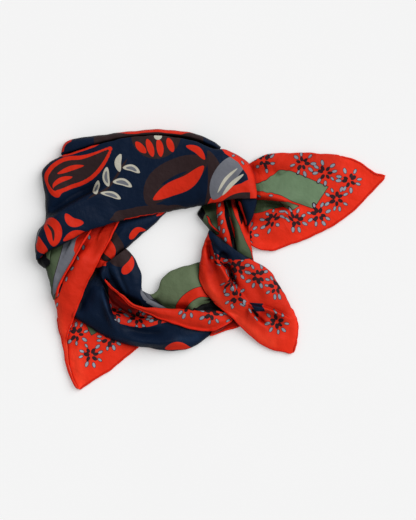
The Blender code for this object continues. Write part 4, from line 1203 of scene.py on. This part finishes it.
def painted_backlight_share(stretch, points, below, from_a, from_b, share):
    """How much backlight is painted on the silk: 1 where one layer lies flat on the bare, glowing table, else
    0.
    """
    high, low = PAINTED_BACKLIGHT_HEIGHTS
    bare = smooth_step(1.0 - relief_at(below, points) / BARE_HEIGHT)
    sheer = smooth_step((high - points[..., 2]) / (high - low)) * bare
    for edge, kind, away in (("a", stretch.a_edge, from_a), ("b", stretch.b_edge, from_b)):
        hem_starts = [hem.start for hem in HEMS if (hem.stretch, hem.edge) == (stretch.name, edge)]
        single_from = min(hem_starts, default=1.0) if kind == FOLDED else 0.0
        folded = smooth_step((single_from - share) / 0.1 + 0.5)
        sheer = sheer * (1.0 - folded * smooth_step(1.5 - away / DOUBLED_WIDTH))
    return sheer


def fold_shade_to_paint(relief, points):
    """How much the cloth around hides from each point, which sets the painted fold shade: 0 on open cloth,
    towards 1 deep in a fold.
    """
    hidden = np.zeros(points.shape[:2])
    for turn in np.linspace(0.0, 2 * math.pi, HOLLOW_TURNS, endpoint=False):
        steepest = np.zeros(points.shape[:2])
        for reach in HOLLOW_REACHES:
            rise = relief_at(relief, points[..., :2] + reach * heading(turn)) - points[..., 2] - HOLLOW_MARGIN
            steepest = np.maximum(steepest, rise / reach)
        hidden += steepest / np.sqrt(1.0 + steepest ** 2)
    low, high = HOLLOW_SHARES
    return smooth_step((hidden / HOLLOW_TURNS - low) / (high - low))


def add_values(obj, name, values):
    """Gives each point of the mesh a number for the material to read."""
    layer = obj.data.attributes.new(name, "FLOAT", "POINT")
    layer.data.foreach_set("value", values.astype(np.float32).ravel())


def add_print(obj, cloth, levels):
    """Gives the mesh its place on the flat cloth and the level of each ink."""
    place = np.pad(cloth.reshape(-1, 2), ((0, 0), (0, 1))).astype(np.float32)
    layer = obj.data.attributes.new("cloth", "FLOAT_VECTOR", "POINT")
    layer.data.foreach_set("vector", place.ravel())
    for ink, level in levels.items():
        add_values(obj, "ink_" + ink, level)


def tube(name, line, radii, material, around=10):
    """A closed tube along a line of points, in metres, with a radius of its own at each point."""
    run = unit(np.gradient(line, axis=0))
    side = unit(np.cross(run, [0.0, 0.0, 1.0]))
    top = np.cross(side, run)
    turns = np.linspace(0.0, 2 * math.pi, around, endpoint=False)[:, None]
    ring = side[:, None] * np.cos(turns) + top[:, None] * np.sin(turns)
    points = (line[:, None] + ring * radii[:, None, None]).reshape(-1, 3)
    faces = grid_faces(len(line), around, closed_columns=True).tolist()
    start, last = len(points), len(points) - around
    for k in range(around):
        following = (k + 1) % around
        faces.append((start, following, k))
        faces.append((start + 1, last + k, last + following))
    return mesh_object(name, np.vstack([points, line[:1], line[-1:]]), faces, material)


def edge_strip(surface, edge, rows):
    """An edge's points for these rows, in metres, and the points a little way in from them."""
    outermost, further = (0, 12) if edge == "a" else (-1, -13)
    return to_table(surface[rows, outermost]), to_table(surface[rows, further])


def add_hem(stretch, surface, edge, rows, material):
    """The rolled hem along part of an edge: a thin roll, pinched a little by each hidden stitch."""
    edge_line, further = edge_strip(surface, edge, rows)
    line = edge_line + unit(further - edge_line) * 0.5 * HEM_RADIUS
    line[:, 2] -= 0.3 * HEM_RADIUS
    knots = lengths_along(line)
    places = np.linspace(0.0, knots[-1], int(knots[-1] / HEM_STEP) + 2)
    way = places / MM
    phase = dice_for(stretch.name, FOR_HEM).uniform(0.0, 6.0, 3)
    drift = STITCH_STEP * (0.16 * np.sin(way / 13.0 + phase[0]) + 0.1 * np.sin(way / 5.1 + phase[1]))
    pinch = np.cos(2 * math.pi * (way + drift) / STITCH_STEP)
    radii = HEM_RADIUS * (1.0 - 0.09 * np.clip(pinch, 0.0, 1.0) ** 4 + 0.05 * np.sin(way / 3.7 + phase[2]))
    radii = radii * (0.4 + 0.6 * smooth_step(np.minimum(way, way[::-1]) / 3.0))
    return tube(f"{stretch.name}_hem_{edge}", straight_between(line, knots, places), radii, material)


# The rings of a stitch's short thread: shares of the way along it, and radii in millimetres
STITCH_RINGS = ((0.0, 0.04), (0.2, 0.15), (0.5, 0.19), (0.8, 0.15), (1.0, 0.04))
STITCH_SIDES = 6
STITCH_MARGIN = 3.0 * MM


def add_stitches(stretch, surface, edge, rows, material):
    """The slip stitches that hold the hem: short threads that dip into the cloth beside the roll."""
    name = f"{stretch.name}_stitches_{edge}"
    edge_line, further = edge_strip(surface, edge, rows)
    knots = lengths_along(edge_line)
    dice = dice_for(name, FOR_STITCHES)
    points, faces = [], []
    place = STITCH_MARGIN
    while place < knots[-1] - STITCH_MARGIN:
        at = straight_between(edge_line, knots, place)
        ahead = unit(straight_between(edge_line, knots, place + 1.0 * MM) - at)
        inwards = unit(straight_between(further, knots, place) - at)
        up = np.cross(ahead, inwards)
        up *= np.sign(up[2])
        start = at + inwards * 1.7 * HEM_RADIUS + up * 0.02 * MM
        run = inwards * 0.9 * MM + ahead * dice.uniform(0.3, 0.6) * MM
        side = np.cross(unit(run), up)
        faces += (len(points) + grid_faces(len(STITCH_RINGS), STITCH_SIDES, closed_columns=True)).tolist()
        for share, radius in STITCH_RINGS:
            for turn in np.arange(STITCH_SIDES) * 2 * math.pi / STITCH_SIDES:
                around = side * math.cos(turn) + up * math.sin(turn)
                points.append(start + run * share + around * radius * MM)
        place += (STITCH_STEP + dice.uniform(-0.5, 0.5)) * MM
    return mesh_object(name, np.array(points), faces, material)


def add_stretch(stretch, relief, silk, hem_silk, thread):
    """One stretch of printed cloth with its hems: its object, its points and the relief with it on."""
    surface, lowest, run, row_share = draped_surface(stretch, widened(relief, SPANNED))
    sides = turned_edges(stretch, surface, lowest, run, row_share)
    points, way, from_a, from_b = evenly_spaced(surface, sides, stretch.cell)
    rows, columns = points.shape[:2]
    middle = (surface[:, 0, :2] + surface[:, -1, :2]) / 2
    cloth = middle[:, None] + run[:, None] * way[..., None]
    share = np.broadcast_to(row_share[:, None], (rows, columns))
    faces = grid_faces(rows, columns)
    grid = to_table(points)
    here = grid[0, columns // 2]
    if np.cross(grid[1, columns // 2] - here, grid[0, columns // 2 + 1] - here)[2] > 0:
        faces = faces[:, ::-1]
    obj = mesh_object(stretch.name + "_silk", grid, faces.tolist(), silk)
    add_print(obj, cloth, inked(stretch.name, cloth, from_a, from_b, share))
    add_values(obj, "sheer", painted_backlight_share(stretch, points, relief, from_a, from_b, share))
    wall = obj.modifiers.new("wall", "SOLIDIFY")
    wall.thickness = SILK
    wall.offset = -1.0
    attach(obj, "root")
    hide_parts(stretch.name)
    for hem in [hem for hem in HEMS if hem.stretch == stretch.name]:
        hemmed = np.nonzero(hemmed_rows(stretch, hem.edge, row_share))[0]
        roll = add_hem(stretch, surface, hem.edge, hemmed, hem_silk)
        stitches = add_stitches(stretch, surface, hem.edge, hemmed, thread)
        for piece in (roll, stitches):
            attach(piece, "root")
    return obj, points, stamped(relief, surface)


def ring_profile(width, height, wobble):
    """One section of the ring in millimetres, (way across, height), layered at both sides."""
    places = np.linspace(0.0, 1.0, LAYER_ROWS * LAYERS + 1)
    bites = LAYER_BITE * np.abs(np.cos(places * LAYERS * math.pi)) ** 1.6 + wobble * np.sin(9 * places)
    side = np.stack([bites, places * RING_SIDE * height], axis=1)
    across = np.linspace(0.1, 0.9, RING_TOP_COLUMNS)
    crown = RING_SIDE + (1 - RING_SIDE) * np.sin(across * math.pi)
    top = np.stack([width * across, height * crown], axis=1)
    other_side = side[::-1] * (-1, 1) + (width, 0)
    return np.vstack([side, top, other_side])


def add_hidden_layers(silk):
    """The ring of folded layers: its sides show as stacked folds. Returns the relief with it on."""
    rows = resampled_ring(RING_SECTIONS, RING_ROWS)
    rows[:, 4] *= RING_SHARE
    turns = np.linspace(0.0, 2 * math.pi, RING_ROWS, endpoint=False)
    loops = []
    for turn, row in zip(turns, rows):
        a, b, height = row[0:2], row[2:4], row[4]
        width = np.linalg.norm(b - a)
        profile = ring_profile(width, height, 0.5 * math.sin(17 * turn) + 0.3 * math.sin(29 * turn + 1.0))
        loops.append(np.hstack([a + (b - a) / width * profile[:, :1], profile[:, 1:]]))
    points = np.array(loops)
    around = points.shape[1]
    faces = grid_faces(RING_ROWS, around, closed_rows=True, closed_columns=True).tolist()
    obj = mesh_object("hidden_layers_silk", to_table(points), faces, silk)
    if sum(face.normal.z * face.area for face in obj.data.polygons if face.center.z > 4 * MM) < 0:
        obj.data.flip_normals()

    # the layers at its sides are navy, and two of them show a line of red and of brown
    share = points[..., 2] / rows[:, None, 4] / RING_SIDE
    layer = np.floor(share * LAYERS)
    cloth = np.dstack(np.broadcast_arrays((turns * RING_RADIUS)[:, None], np.arange(around, dtype=float)))
    wander = 0.25 * np.sin(5 * turns)[:, None]
    levels = {ink: np.full(share.size, -LEVEL_LIMIT) for ink in INKS}
    levels["red"] = np.where(layer == 1, 0.42 - np.abs(share * LAYERS - 1.5 + wander), -1.0) * 2
    levels["brown"] = np.where(layer == 3, 0.5 - np.abs(share * LAYERS - 3.5), -1.0) * 2
    add_print(obj, cloth, levels)
    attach(obj, "root")
    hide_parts("hidden_layers")
    bare_board = np.zeros((int(BOARD_SIZE[1] / RELIEF_CELL), int(BOARD_SIZE[0] / RELIEF_CELL)))
    closed = np.concatenate([points, points[:1]], axis=0)
    return stamped(bare_board, closed[:, 8 * LAYERS:-8 * LAYERS])


# Materials


def linear(colour):
    """An sRGB colour of 0 to 255 as the linear RGBA that the shader takes."""
    values = [channel / 255 for channel in colour]
    values = [v / 12.92 if v <= 0.04045 else ((v + 0.055) / 1.055) ** 2.4 for v in values]
    return (*values, 1.0)


def new_material(name):
    material = bpy.data.materials.new(name)
    material.use_nodes = True
    tree = material.node_tree
    return material, tree, tree.nodes["Principled BSDF"]


def feed(tree, socket, value):
    """Sets a socket to a number or a colour, or links it to another socket."""
    if isinstance(value, bpy.types.NodeSocket):
        tree.links.new(value, socket)
    else:
        socket.default_value = value


def new_node(tree, kind, **inputs):
    """A node with these inputs, whose names have _ for a space."""
    node = tree.nodes.new("ShaderNode" + kind)
    for name, value in inputs.items():
        feed(tree, node.inputs[name.replace("_", " ")], value)
    return node


def set_look(shader, **values):
    for name, value in values.items():
        shader.inputs[name.replace("_", " ")].default_value = value


def attribute(tree, name, output="Fac"):
    node = new_node(tree, "Attribute")
    node.attribute_name = name
    return node.outputs[output]


def math_node(tree, operation, first, second):
    node = new_node(tree, "Math")
    node.operation = operation
    feed(tree, node.inputs[0], first)
    feed(tree, node.inputs[1], second)
    return node.outputs[0]


def times(tree, first, second):
    return math_node(tree, "MULTIPLY", first, second)


def scaled(tree, value, factor, offset):
    """factor * value + offset"""
    return math_node(tree, "ADD", times(tree, value, factor), offset)


def threshold(tree, level, limit, softness=0.12):
    """0 below the limit and 1 above it, with a soft step between."""
    node = new_node(tree, "MapRange", Value=level, From_Min=limit - softness, From_Max=limit + softness)
    node.interpolation_type = "SMOOTHSTEP"
    return node.outputs["Result"]


def mixed(tree, factor, first, second, kind="MIX"):
    """A Mix node of colours; first and second are sockets or linear colours."""
    node = new_node(tree, "Mix")
    node.data_type = "RGBA"
    node.blend_type = kind
    first_socket, second_socket = [socket for socket in node.inputs if socket.type == "RGBA"]
    feed(tree, node.inputs["Factor"], factor)
    feed(tree, first_socket, first)
    feed(tree, second_socket, second)
    return [socket for socket in node.outputs if socket.type == "RGBA"][0]


def noise(tree, place, scale, detail=2.0):
    return new_node(tree, "TexNoise", Vector=place, Scale=scale, Detail=detail).outputs[0]


def bumped(tree, shader, height, depth, **below):
    """A bump whose height socket runs from 0 to 1 over that depth in metres."""
    node = new_node(tree, "Bump", Strength=1.0, Distance=depth, Height=height, **below)
    tree.links.new(node.outputs["Normal"], shader.inputs["Normal"])
    return node.outputs["Normal"]


def silk_finish(shader):
    set_look(shader, Roughness=0.48, Specular_IOR_Level=0.06, Sheen_Weight=0.01, Sheen_Roughness=0.4,
             Sheen_Tint=(1.0, 0.9, 0.88, 1.0))


def inks_over_navy(tree):
    """The print's colour: each ink over those before it, with its dark outline if it has one."""
    colour = linear(NAVY)
    for name, ink in INKS.items():
        level = attribute(tree, "ink_" + name)
        if ink.outline:
            colour = mixed(tree, threshold(tree, level, 0.0), colour, linear(DARK_LINE))
        colour = mixed(tree, threshold(tree, level, ink.outline), colour, linear(ink.colour))
    return colour


# How the cloth's shade varies, as a noise of this scale (per millimetre) and detail over this span of
# shades, from the least upwards
Shade = namedtuple("Shade", "scale detail span least")
DYE = Shade(0.09, 3.0, 0.26, 0.87)
SLUBS = Shade(1.3, 2.0, 0.12, 0.94)
# Painted backlight: the colour's span and least scale
PAINTED_BACKLIGHT_SPAN, PAINTED_BACKLIGHT_LEAST = 0.3, 0.86
PAINTED_FOLD_DARKENING = 0.6          # how much darker the painted shade makes the cloth deep in a fold
PAINTED_FOLD_SATURATION = 0.35        # and how much more saturated, as a power
CRUMPLE_SCALE, CRUMPLE_DEPTH = 0.16, 0.85 * MM
TWILL_SCALE, TWILL_DEPTH = 0.9, 0.012 * MM


def shade_noise(tree, place, shade):
    return scaled(tree, noise(tree, place, shade.scale, shade.detail), shade.span, shade.least)


def printed_silk():
    """Twill silk: the inks by their levels, an uneven dye, painted fold shade and painted backlight, the
    weave's diagonal lines and fine crumples.
    """
    material, tree, shader = new_material("printed_silk")
    place = attribute(tree, "cloth", "Vector")
    hollow = attribute(tree, "hollow")
    shade = times(tree, shade_noise(tree, place, DYE), shade_noise(tree, place, SLUBS))
    # Painted backlight: the colour is lighter where one layer lies low over the glowing table
    shade = times(tree, shade, scaled(tree, attribute(tree, "sheer"), PAINTED_BACKLIGHT_SPAN, PAINTED_BACKLIGHT_LEAST))
    # Painted shade: the colour is darker and more saturated deep in folds, and lighter where the lines paint
    # sheen
    shade = times(tree, shade, scaled(tree, hollow, -PAINTED_FOLD_DARKENING, 1.0))
    grey = new_node(tree, "CombineColor", Red=shade, Green=shade, Blue=shade)
    power = scaled(tree, hollow, PAINTED_FOLD_SATURATION, 1.0)
    painted_shading = new_node(tree, "Gamma", Color=inks_over_navy(tree), Gamma=power)
    colour = mixed(tree, 1.0, painted_shading.outputs["Color"], grey.outputs["Color"], "MULTIPLY")
    tree.links.new(colour, shader.inputs["Base Color"])
    twill = new_node(tree, "TexWave", Scale=TWILL_SCALE, Distortion=0.6, Vector=place)
    twill.wave_type = "BANDS"
    twill.bands_direction = "DIAGONAL"
    crumples = bumped(tree, shader, noise(tree, place, CRUMPLE_SCALE, 3.0), CRUMPLE_DEPTH)
    bumped(tree, shader, twill.outputs["Fac"], TWILL_DEPTH, Normal=crumples)
    silk_finish(shader)
    return material


# Plain red fibre: its two colours, the scale of the dye between them, and its bumps' scale and depth
Fibre = namedtuple("Fibre", "name colours dye_scale dye_detail bump_scale bump_depth")
HEM_FIBRE = Fibre("rolled_silk", HEM_REDS, 180.0, 3.0, 900.0, 0.12 * MM)
THREAD_FIBRE = Fibre("silk_thread", THREAD_REDS, 2500.0, 2.0, 4000.0, 0.05 * MM)


def red_fibre(fibre):
    """The red of the cloth's edge, as it is in the rolled hem or in the thread that holds it."""
    material, tree, shader = new_material(fibre.name)
    place = new_node(tree, "TexCoord").outputs["Object"]
    dark, light = [linear(colour) for colour in fibre.colours]
    colour = mixed(tree, noise(tree, place, fibre.dye_scale, fibre.dye_detail), dark, light)
    tree.links.new(colour, shader.inputs["Base Color"])
    bumped(tree, shader, noise(tree, place, fibre.bump_scale), fibre.bump_depth)
    if fibre is HEM_FIBRE:
        silk_finish(shader)
    else:
        set_look(shader, Roughness=0.55)
    return material


def lit_acrylic():
    """White acrylic that is lit from below, so that shadows on it stay pale."""
    material, tree, shader = new_material("lit_acrylic")
    place = new_node(tree, "TexCoord").outputs["Object"]
    low, high = 0.99 * TABLE_ALBEDO, 1.01 * TABLE_ALBEDO
    colour = mixed(tree, noise(tree, place, 6.0), (low, low, low, 1.0), (high, high, high, 1.0))
    tree.links.new(colour, shader.inputs["Base Color"])
    set_look(shader, Emission_Color=WHITE, Emission_Strength=TABLE_GLOW, Roughness=0.9,
             Specular_IOR_Level=0.1)
    return material


# Stage and camera


def add_key():
    """A sun lamp that looks as large as a soft box, so that its light is the same all over the table."""
    light = bpy.data.lights.new("key", "SUN")
    height, turn = math.radians(KEY_HEIGHT), math.radians(KEY_TURN)
    light.energy = KEY * math.pi / math.sin(height)
    light.angle = math.radians(KEY_SPREAD)
    key = placed("key", light)
    to_key = Vector((*(math.cos(height) * heading(turn)), math.sin(height)))
    key.rotation_mode = "QUATERNION"
    key.rotation_quaternion = (-to_key).to_track_quat("-Z", "Y")


def add_stage():
    """A pale surface, even soft light from all round, and one large light from the upper right."""
    corners = TABLE_HALF * np.array([[-1, -1, 0], [1, -1, 0], [1, 1, 0], [-1, 1, 0]], float)
    floor = mesh_object("table_top", corners, [(0, 1, 2, 3)], lit_acrylic())
    floor.location.z = -0.2 * MM
    world = bpy.data.worlds.new("soft_light")
    bpy.context.scene.world = world
    world.use_nodes = True
    set_look(world.node_tree.nodes["Background"], Color=WHITE, Strength=SKY)
    add_key()


def add_camera():
    """A camera straight above the board's middle that sees all its height."""
    lens = bpy.data.cameras.new("camera")
    lens.sensor_width = SENSOR
    lens.lens = LENS
    lens.clip_start = 0.1
    lens.clip_end = 50.0
    camera = placed("camera", lens)
    x, y, _ = to_table(np.array([*BOARD_SIZE, 0.0]) / 2)
    camera.location = (x, y, FOCUS_HEIGHT + BOARD_SIZE[1] * MM * LENS / SENSOR)
    bpy.context.scene.camera = camera


def main():
    bpy.context.scene.view_settings.view_transform = "Standard"
    silk, hem_silk, thread = printed_silk(), red_fibre(HEM_FIBRE), red_fibre(THREAD_FIBRE)
    relief = add_hidden_layers(silk)
    cloths = []
    for stretch in STRETCHES:
        obj, points, relief = add_stretch(stretch, relief, silk, hem_silk, thread)
        cloths.append((obj, points))
    # Each stretch's painted fold shade: from how far down in the heap's folds it lies, with the listed lines
    # of painted shade and sheen
    for stretch, (obj, points) in zip(STRETCHES, cloths):
        painted_shading = fold_heights(points[..., :2].reshape(-1, 2), PAINTED_SHADE_LINES.get(stretch.name, []))
        add_values(obj, "hollow", np.clip(fold_shade_to_paint(relief, points).ravel() + painted_shading, *PAINTED_SHADE_LIMITS))
    add_stage()
    add_camera()


main()
